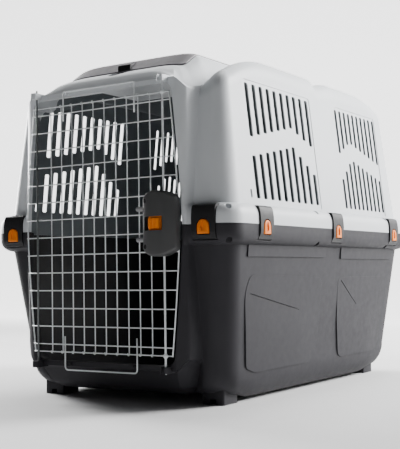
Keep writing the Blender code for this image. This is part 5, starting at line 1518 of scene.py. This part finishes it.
def make_door_skin(finish, rod_shade_finish):
    """Cross wires, hooked uprights, bowed side wires, stop loops, hinge rod and bolt guides; the hinge rod
    takes a darker steel finish, painted shade.
    """
    rows = horizontal_heights()
    low, high = rows[0], rows[-1]
    wires = []
    for z in rows:
        end = side_x(z) + WIRE_END
        wires.append(tube([(-end, HORIZONTAL_Y, z), (end, HORIZONTAL_Y, z)], THIN_WIRE))
    for index in range(VERTICAL_COUNT):
        wires.append(hooked_wire((index - (VERTICAL_COUNT - 1) / 2) * VERTICAL_PITCH, low, high))
    for sign in (-1, 1):
        heights = spread(low - SIDE_WIRE_OVER, high + SIDE_WIRE_OVER, 40)
        side = [(sign * side_x(z), VERTICAL_Y, z) for z in heights]
        wires += [tube(side, THIN_WIRE + SIDE_WIRE_EXTRA), loop_wire(sign)]
    wires.append(tube([(-ROD_X, HINGE_Y, SILL_Z - HINGE_ROD_REACH),
                       (-ROD_X, HINGE_Y, LINTEL_Z + HINGE_ROD_REACH)], ROD_RADIUS, PIN_SIDES))
    half = GUIDE_HEIGHT / 2 - 0.0006
    for z in (low, high):
        ring = tube([(ROD_X, BOLT_Y, z - half), (ROD_X, BOLT_Y, z + half)], GUIDE_RADIUS, ROD_SIDES)
        cut(ring, bars([(ROD_X, BOLT_Y)], 2, z - 0.01, z + 0.01, ROD_RADIUS + WIRE_END, PIN_SIDES))
        wires.append(ring)
    door = joined(wires)
    set_finishes(door.data, finish, rod_shade_finish)
    # faces of the hinge rod take the darker steel: painted shade
    for face in door.data.polygons:
        x, y, _ = face.center
        if abs(x + ROD_X) < 1.3 * ROD_RADIUS and abs(y - HINGE_Y) < 1.3 * ROD_RADIUS:
            face.material_index = 1
    show(door, "door_wires", None, "door", ["door_grille"], 50)


# Latch

def crown_loft(shrink, back, edge_round):
    """Latch housing form: rounded-rectangle sections across the door, under a crowned front."""
    full = (LATCH_RIGHT - LATCH_LEFT) / 2
    end_radius = (full ** 2 + LATCH_END_RISE ** 2) / (2 * LATCH_END_RISE)
    crown = LATCH_DEPTH - LATCH_EDGE_DEPTH
    crown_radius = (full ** 2 + crown ** 2) / (2 * crown)
    half = full - shrink
    radius = HOUSING_ROUND if shrink == 0.0 else HOLLOW_ROUND
    stations = [(mix(half, half - edge_round, share), edge_round * (1 - math.sqrt(1 - (1 - share) ** 2)))
                for share in (0.0, 0.08, 0.3, 0.6, 1.0)]
    inner = [(half - edge_round) * math.cos(math.pi * step / 24) for step in range(1, 24)]
    whole = stations + [(dx, 0.0) for dx in inner] + [(-dx, extra) for dx, extra in reversed(stations)]
    rings = []
    for dx, extra in whole:
        rise = math.sqrt((end_radius - shrink) ** 2 - dx ** 2) - extra
        high = LATCH_HIGH_Z - end_radius + rise
        sag = math.sqrt((crown_radius - shrink) ** 2 - dx ** 2) - extra
        front = LATCH_FRONT_Y + crown_radius - sag
        low = 2 * LATCH_Z - high
        outline = [(back, low)] + arc(front + radius, low + radius, radius, 270, 180, 6)
        outline += arc(front + radius, high - radius, radius, 180, 90, 6) + [(back, high)]
        rings.append([(LATCH_X + dx, y, z) for y, z in outline])
    return loft(rings)


def window_cutter(near, far):
    """Opening for the slider, with rounded corners."""
    outline = rectangle(ROD_X - WINDOW_IN, ROD_X + WINDOW_OUT, LATCH_Z - WINDOW_HEIGHT / 2,
                        LATCH_Z + WINDOW_HEIGHT / 2)
    return prism(rounded_outline(outline, (WINDOW_ROUND,) * 4, 5), 1, near, far)


def make_cover_skin(finish):
    """Hollow latch housing with its window, screw columns, web, and holes for pegs and bolts."""
    cover = crown_loft(0.0, LATCH_BACK_Y, HOUSING_EDGE)
    cut(cover, crown_loft(LATCH_WALL, LATCH_BACK_Y + 0.01, 0.001))
    seat = LATCH_BACK_Y - SCREW_SINK
    screws = screw_spots()
    columns = bars(screws, 1, seat - 0.002, LATCH_BACK_Y, SCREW_HEAD + COLUMN_WALL, 24)
    add(cover, common(columns, crown_loft(0.5 * LATCH_WALL, LATCH_BACK_Y, 0.001)))
    add(cover, box((ROD_X - 2 * SPRING_RADIUS, BOLT_Y - 0.004, LATCH_Z - WEB_THICKNESS / 2),
                   (LATCH_RIGHT - 0.4 * LATCH_WALL, LATCH_BACK_Y, LATCH_Z + WEB_THICKNESS / 2)))
    cut(cover, window_cutter(LATCH_FRONT_Y - 0.01, PLATE_Y - 0.005),
        bars(screws, 1, LATCH_FRONT_Y - PAST_FACE, seat, SCREW_HEAD + CLEARANCE, 28),
        bars(screws, 1, seat - 0.01, 0.0, SCREW_SHANK + CLEARANCE, PIN_SIDES),
        bars(peg_spots(), 0, LATCH_LEFT - 0.01, LATCH_LEFT + PEG_SEAT, PEG_RADIUS + CLEARANCE, ROD_SIDES))
    slot = ROD_RADIUS + 2 * CLEARANCE
    for low, high in ((LATCH_HIGH_Z - 0.012, LATCH_HIGH_Z + 0.01), (LATCH_LOW_Z - 0.01, LATCH_LOW_Z + 0.012)):
        cut(cover, box((ROD_X - slot, BOLT_Y - slot, low), (ROD_X + slot, 0.0, high)))
    show(cover, "latch_housing", finish, "door", ["latch_cover"], 32)


def make_slider_skin(finish):
    """Orange slider whose face is waved into grip ribs, with its flange and its stepped stem."""
    half_x, half_z = SLIDER_WIDTH / 2, SLIDER_HEIGHT / 2
    face = LATCH_FRONT_Y + SLIDER_RECESS
    flange = LATCH_FRONT_Y + LATCH_WALL + STEM_DEPTH
    outline = []
    for share in spread(0.0, 1.0, 40):
        wave = 0.5 - 0.5 * math.cos(2 * math.pi * SLIDER_WAVES * share)
        outline.append((SLIDER_X - half_x + SLIDER_WIDTH * share, face - (SLIDER_RIB - 0.0004) * wave))
    outline += [(SLIDER_X + half_x, flange + OVERLAP), (SLIDER_X - half_x, flange + OVERLAP)]
    block = prism(outline, 2, LATCH_Z - half_z, LATCH_Z + half_z)
    rear = PLATE_Y - PLATE_THICKNESS / 2
    wide, thin = STEM_HALVES
    for reach_x, reach_z, near, far in (
            (half_x + SLIDER_FLANGE, WINDOW_HEIGHT / 2 + SLIDER_FLANGE, flange, flange + 0.002),
            (wide, wide, flange + OVERLAP, rear - CLEARANCE),
            (thin, thin, rear - OVERLAP, rear + PLATE_THICKNESS)):
        add(block, box((SLIDER_X - reach_x, near, LATCH_Z - reach_z),
                       (SLIDER_X + reach_x, far, LATCH_Z + reach_z)))
    round_edges(block, 0.0007, 2, 50)
    show(block, "latch_slider_skin", finish, "slider", ["latch_slider"], 40)


def make_peg_skins(finish):
    """Pegs with rounded ends and fine turned grooves."""
    profile = list(PEG_END)
    for groove in range(PEG_GROOVES):
        at = PEG_FIRST_GROOVE + PEG_GROOVE_PITCH * groove
        profile += [(at + along, size) for along, size in PEG_GROOVE]
    profile += [(PEG_LENGTH - 0.001, 1.0), (PEG_LENGTH, 0.85)]
    start = LATCH_LEFT + PEG_SEAT - CLEARANCE - PEG_LENGTH
    for name, (y, z) in zip(("latch_peg_upper", "latch_peg_lower"), peg_spots()):
        peg = loft([[(start + along, y + PEG_RADIUS * size * math.cos(angle),
                      z + PEG_RADIUS * size * math.sin(angle)) for angle in turns(ROD_SIDES)]
                    for along, size in profile])
        show(peg, f"{name}_skin", finish, "door", [name], 40)


# Clips

def lever_form():
    """Lever profile with rounded turns, and the arched pocket for its button."""
    hook = local_y(-CLIP_HOOK_IN)
    hook_low = CLIP_LEDGE_Z + 2 * CLEARANCE + CLIP_PIVOT_DOWN
    top = CLIP_TOP + CLIP_PIVOT_DOWN
    face = local_y(CLIP_FACE_OUT)
    outline = arc(0.0, 0.0, CLIP_HEEL_RADIUS, 0, -180, 12)
    knots = [(mix(-CLIP_HEEL_RADIUS, face, out), share * top) for out, share in LEVER_FRONT]
    knots.append((-0.5 * CLIP_HEEL_RADIUS, top))
    for share in spread(0.0, 1.0, 32)[1:]:
        y, z = curve_share(knots, share)
        outline.append((max(y, face), min(z, top)))
    outline += [(hook, top), (hook, hook_low), (local_y(-CLIP_BACK_IN), hook_low)]
    lever = prism(outline, 0, -CLIP_WIDTH / 2, CLIP_WIDTH / 2)
    floor = local_y(CLIP_FACE_OUT + BUTTON_PROUD - BUTTON_THICKNESS - BUTTON_TRAVEL - CLEARANCE)
    cut(lever, prism(fine_button(BUTTON_GAP), 1, face - 0.01, floor))
    smooth(lever, 35)
    return lever.data


def fine_button(grow):
    """Arched outline of the button, grown outward."""
    half = BUTTON_WIDTH / 2 + grow
    low = BUTTON_TRIM - BUTTON_DOWN - grow + CLIP_PIVOT_DOWN
    head = -BUTTON_DOWN + BUTTON_HEIGHT - BUTTON_TRIM - BUTTON_WIDTH / 2 + CLIP_PIVOT_DOWN
    base = bend((-half, low, 0), (-half, low + 0.01, 0), (0, low, 0), 0.002, 3)
    base += bend((half, low, 0), (0, low, 0), (half, low + 0.01, 0), 0.002, 3)
    return [(p.x, p.y) for p in base] + arc(0.0, head, half, 0, 180, 24)


def button_form():
    """Arched push button with a rounded rim and a flame-shaped hollow in its middle."""
    front = local_y(CLIP_FACE_OUT + BUTTON_PROUD)
    levels = ((BUTTON_THICKNESS, 0.0), *BUTTON_RIM)
    button = loft([[(x, front + depth, z) for x, z in fine_button(-shrink)] for depth, shrink in levels])
    low = -BUTTON_DOWN + CLIP_PIVOT_DOWN
    outline = rounded_outline([(x, low + rise) for x, rise in FLAME], FLAME_RADII, 4)
    cut(button, prism(outline, 1, front - 0.01, front + FLAME_DEPTH))
    smooth(button, 40)
    return button.data


def make_clip_skins(lever_finish, button_finish):
    """A lever and a button at each clip's place, every kind from one mesh."""
    kinds = (("lever", lever_form(), lever_finish, "clip", "clip_plastic"),
             ("button", button_form(), button_finish, "button", "orange_plastic"))
    for _, mesh, finish, _, _ in kinds:
        set_finishes(mesh, finish)
        for item in [o for o in bpy.context.scene.objects if o.data == mesh]:
            bpy.data.objects.remove(item)
    for name, place in clip_places().items():
        pivot = place @ Matrix.Translation((0.0, CLIP_PIVOT_IN, -CLIP_PIVOT_DOWN))
        for kind, mesh, _, body, slot in kinds:
            item = new_object(f"clip_{kind}_{name}_skin", mesh)
            item.matrix_world = Matrix.Translation((0.0, SHIFT, 0.0)) @ pivot
            if kind == "lever":
                round_edges(item, LEVER_ROUND, 3, 38)
            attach(item, f"{body}_{name}")
            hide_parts(f"clip_{kind}_{name}")


# Finishes

def nodes_of(name):
    """New material, its node tree, its shader and its object coordinates."""
    made = bpy.data.materials.new(name)
    made.use_nodes = True
    tree = made.node_tree
    place = tree.nodes.new("ShaderNodeTexCoord").outputs["Object"]
    return made, tree, tree.nodes["Principled BSDF"], place


def fill(tree, node, inputs):
    """Sets a node's inputs to numbers or links them to other outputs, and gives its own outputs."""
    for name, value in inputs.items():
        if isinstance(value, bpy.types.NodeSocket):
            tree.links.new(value, node.inputs[name])
        else:
            node.inputs[name].default_value = value
    return node.outputs


def noise(tree, place, scale, detail, rough):
    return fill(tree, tree.nodes.new("ShaderNodeTexNoise"),
                {"Scale": scale, "Detail": detail, "Roughness": rough, "Vector": place})["Fac"]


def ramp(tree, source, low, high, first, second):
    return fill(tree, tree.nodes.new("ShaderNodeMapRange"),
                {"From Min": low, "From Max": high, "To Min": first, "To Max": second,
                 "Value": source})["Result"]


def bump(tree, height, strength, distance, **more):
    return fill(tree, tree.nodes.new("ShaderNodeBump"),
                {"Strength": strength, "Distance": distance, "Height": height, **more})["Normal"]


def blend_colours(tree, share, first, second):
    made = tree.nodes.new("ShaderNodeMix")
    made.data_type = "RGBA"
    return fill(tree, made, {"A": (*first, 1.0), "B": (*second, 1.0), "Factor": share})["Result"]


def moulded(name, colour, other, roughness, grain=0.10, grain_scale=900.0, shine=0.3):
    """Moulded plastic: slow change of tone, fine spark-eroded grain, uneven gloss, soft edges."""
    made, tree, shader, place = nodes_of(name)
    cloud = noise(tree, place, CLOUD_SCALE, 4.0, 0.55)
    scuff = noise(tree, place, SCUFF_SCALE, 5.0, 0.65)
    fine = noise(tree, place, grain_scale, 2.0, 0.6)
    soft = tree.nodes.new("ShaderNodeBevel")
    soft.samples = 4
    edges = fill(tree, soft, {"Radius": SOFT_EDGE})["Normal"]
    fill(tree, shader, {
        "Base Color": blend_colours(tree, ramp(tree, cloud, 0.32, 0.68, 0.0, 1.0), colour, other),
        "Roughness": ramp(tree, scuff, 0.3, 0.7, roughness - GLOSS_CHANGE, roughness + GLOSS_CHANGE),
        "Normal": bump(tree, fine, grain, BUMP_DISTANCE, Normal=edges),
        "Specular IOR Level": shine,
    })
    return made


def metal(name, colour, other, roughness, share=1.0):
    """Plated steel: streaky gloss, dull specks and a slightly rippled surface."""
    made, tree, shader, place = nodes_of(name)
    cloud = noise(tree, place, METAL_CLOUD_SCALE, 4.0, 0.6)
    fine = noise(tree, place, STREAK_SCALE, 3.0, 0.6)
    fill(tree, shader, {
        "Metallic": share,
        "Base Color": blend_colours(tree, ramp(tree, cloud, 0.35, 0.65, 0.0, 1.0), colour, other),
        "Roughness": ramp(tree, fine, 0.3, 0.7, roughness - 0.07, roughness + 0.12),
        "Normal": bump(tree, fine, 0.06, 0.0003),
    })
    return made


# Studio

def area_light(name, place, aim, size, power):
    data = bpy.data.lights.new(name, "AREA")
    data.shape = "RECTANGLE"
    data.size, data.size_y = size
    data.energy = power
    data.spread = LIGHT_SPREAD
    made = new_object(name, data)
    made.location = place
    made.rotation_mode = "QUATERNION"
    made.rotation_quaternion = (Vector(aim) - Vector(place)).to_track_quat("-Z", "Y")


def studio():
    """Pale sweep of floor and wall, two large side lights, a top light and low fill."""
    data = bmesh.new()
    profile = [(-SWEEP_REACH, 0.0), (SWEEP_BACK_Y, 0.0)]
    profile += arc(SWEEP_BACK_Y, SWEEP_ROUND, SWEEP_ROUND, -90, 0, 12)[1:]
    profile.append((SWEEP_BACK_Y + SWEEP_ROUND, SWEEP_HEIGHT))
    rows = [[data.verts.new((x, y, z)) for x in (-SWEEP_REACH, SWEEP_REACH)] for y, z in profile]
    for first, second in zip(rows, rows[1:]):
        data.faces.new((first[0], first[1], second[1], second[0]))
    sweep = keep(data)
    sweep.name = "sweep"
    sweep.data.shade_smooth()
    made, tree, shader, place = nodes_of("pale sweep")
    parts = fill(tree, tree.nodes.new("ShaderNodeSeparateXYZ"), {"Vector": place})
    fill(tree, shader, {
        "Base Color": blend_colours(tree, noise(tree, place, 14.0, 4.0, 0.6), (0.72,) * 3, (0.76,) * 3),
        "Roughness": 0.9,
        "Emission Color": (1.0, 1.0, 1.0, 1.0),
        "Emission Strength": ramp(tree, parts["Y"], 0.7, SWEEP_BACK_Y, 0.0, 2.6),
    })
    sweep.data.materials.append(made)
    sweep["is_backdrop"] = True
    for light in LIGHTS:
        area_light(*light)
    world = bpy.data.worlds.new("studio")
    bpy.context.scene.world = world
    world.use_nodes = True
    background = world.node_tree.nodes["Background"]
    background.inputs["Color"].default_value = WORLD_COLOUR
    background.inputs["Strength"].default_value = WORLD_STRENGTH


def camera():
    """Camera that sees the crate from the front right, close to floor level."""
    data = bpy.data.cameras.new("camera")
    data.sensor_fit = "VERTICAL"
    data.sensor_height = 36.0
    data.lens = FOCAL_LENGTH
    data.clip_start, data.clip_end = 0.05, 60.0
    made = new_object("camera", data)
    turn = Matrix((CAMERA_RIGHT, CAMERA_UP, -Vector(CAMERA_AHEAD))).transposed().to_4x4()
    x, y, z = CAMERA_PLACE
    made.matrix_world = Matrix.Translation((x, y + SHIFT, z)) @ turn
    bpy.context.scene.camera = made


def finish_small_nodes(finishes):
    """CAD nodes that stay as they are take detailed finishes and soft edges."""
    for node, (finish, width) in finishes.items():
        item = frame["nodes"][node]
        for slot in item.material_slots:
            slot.material = finish
        if width:
            round_edges(item, width, 2, 40)


def corners(bounds):
    low, high = bounds
    return [list(low), list(high)]


bpy.context.scene.frame_set(1)
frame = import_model()
cad_box = corners(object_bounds())
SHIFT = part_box("latch_cover")[0].y - LATCH_FRONT_Y

light = moulded("light shell plastic", (0.60, 0.625, 0.645), (0.64, 0.66, 0.68), 0.42)
# Darker copy of the light shell plastic for its inner faces: painted shade.
light_inside_painted_shade = moulded("light shell inner face painted shade", (0.150, 0.168, 0.180), (0.175, 0.193, 0.205), 0.6)
dark = moulded("dark shell plastic", (0.027, 0.026, 0.030), (0.033, 0.032, 0.036), 0.52, 0.08, 900.0, 0.12)
# Darker copy of the dark shell plastic for its inner faces: painted shade.
dark_inside_painted_shade = moulded("dark shell inner face painted shade", (0.016, 0.015, 0.016), (0.022, 0.021, 0.022), 0.6)
lid_finish = moulded("lid plastic", (0.130, 0.120, 0.134), (0.155, 0.144, 0.159), 0.40)
black = moulded("black plastic", (0.010, 0.010, 0.011), (0.016, 0.016, 0.017), 0.40)
clip_finish = moulded("clip plastic", (0.014, 0.014, 0.015), (0.020, 0.020, 0.022), 0.45, 0.12, 700.0, 0.2)
latch_finish = moulded("latch plastic", (0.044, 0.044, 0.045), (0.058, 0.058, 0.059), 0.42, 0.20, 600.0, 0.4)
orange = moulded("orange plastic", (0.80, 0.175, 0.006), (0.86, 0.22, 0.010), 0.40, 0.06, 900.0, 0.2)
peg_finish = moulded("peg plastic", (0.28, 0.28, 0.29), (0.34, 0.34, 0.35), 0.45, 0.12)
zinc = metal("zinc wire", (0.84, 0.87, 0.88), (0.76, 0.79, 0.80), 0.40, 0.40)
# Hinge rod: a dark copy of the door's steel, painted shade where the rod looks dark.
hinge_rod_painted_shade = metal("hinge rod steel painted shade", (0.16, 0.17, 0.17), (0.11, 0.12, 0.12), 0.42, 0.6)
steel = metal("spring steel", (0.56, 0.56, 0.57), (0.46, 0.46, 0.47), 0.32)

make_top(light, light_inside_painted_shade)
make_bottom(dark, dark_inside_painted_shade)
make_lid_skin(lid_finish)
make_catch_skin(black, lid_finish)
make_door_skin(zinc, hinge_rod_painted_shade)
make_cover_skin(latch_finish)
make_slider_skin(orange)
make_peg_skins(peg_finish)
make_clip_skins(clip_finish, orange)
finish_small_nodes({
    "latch_back": (latch_finish, 0.0006), "latch_slide_plate": (black, 0.0),
    "latch_screw_upper": (black, 0.0004), "latch_screw_lower": (black, 0.0004),
    "latch_rod_upper": (zinc, 0.0004), "latch_rod_lower": (zinc, 0.0004),
    "latch_spring_upper": (steel, 0.0), "latch_spring_lower": (steel, 0.0),
    "lid_pin_left": (steel, 0.0003), "lid_pin_right": (steel, 0.0003),
})
studio()
camera()
{"cad": cad_box, "visual": corners(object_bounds())}
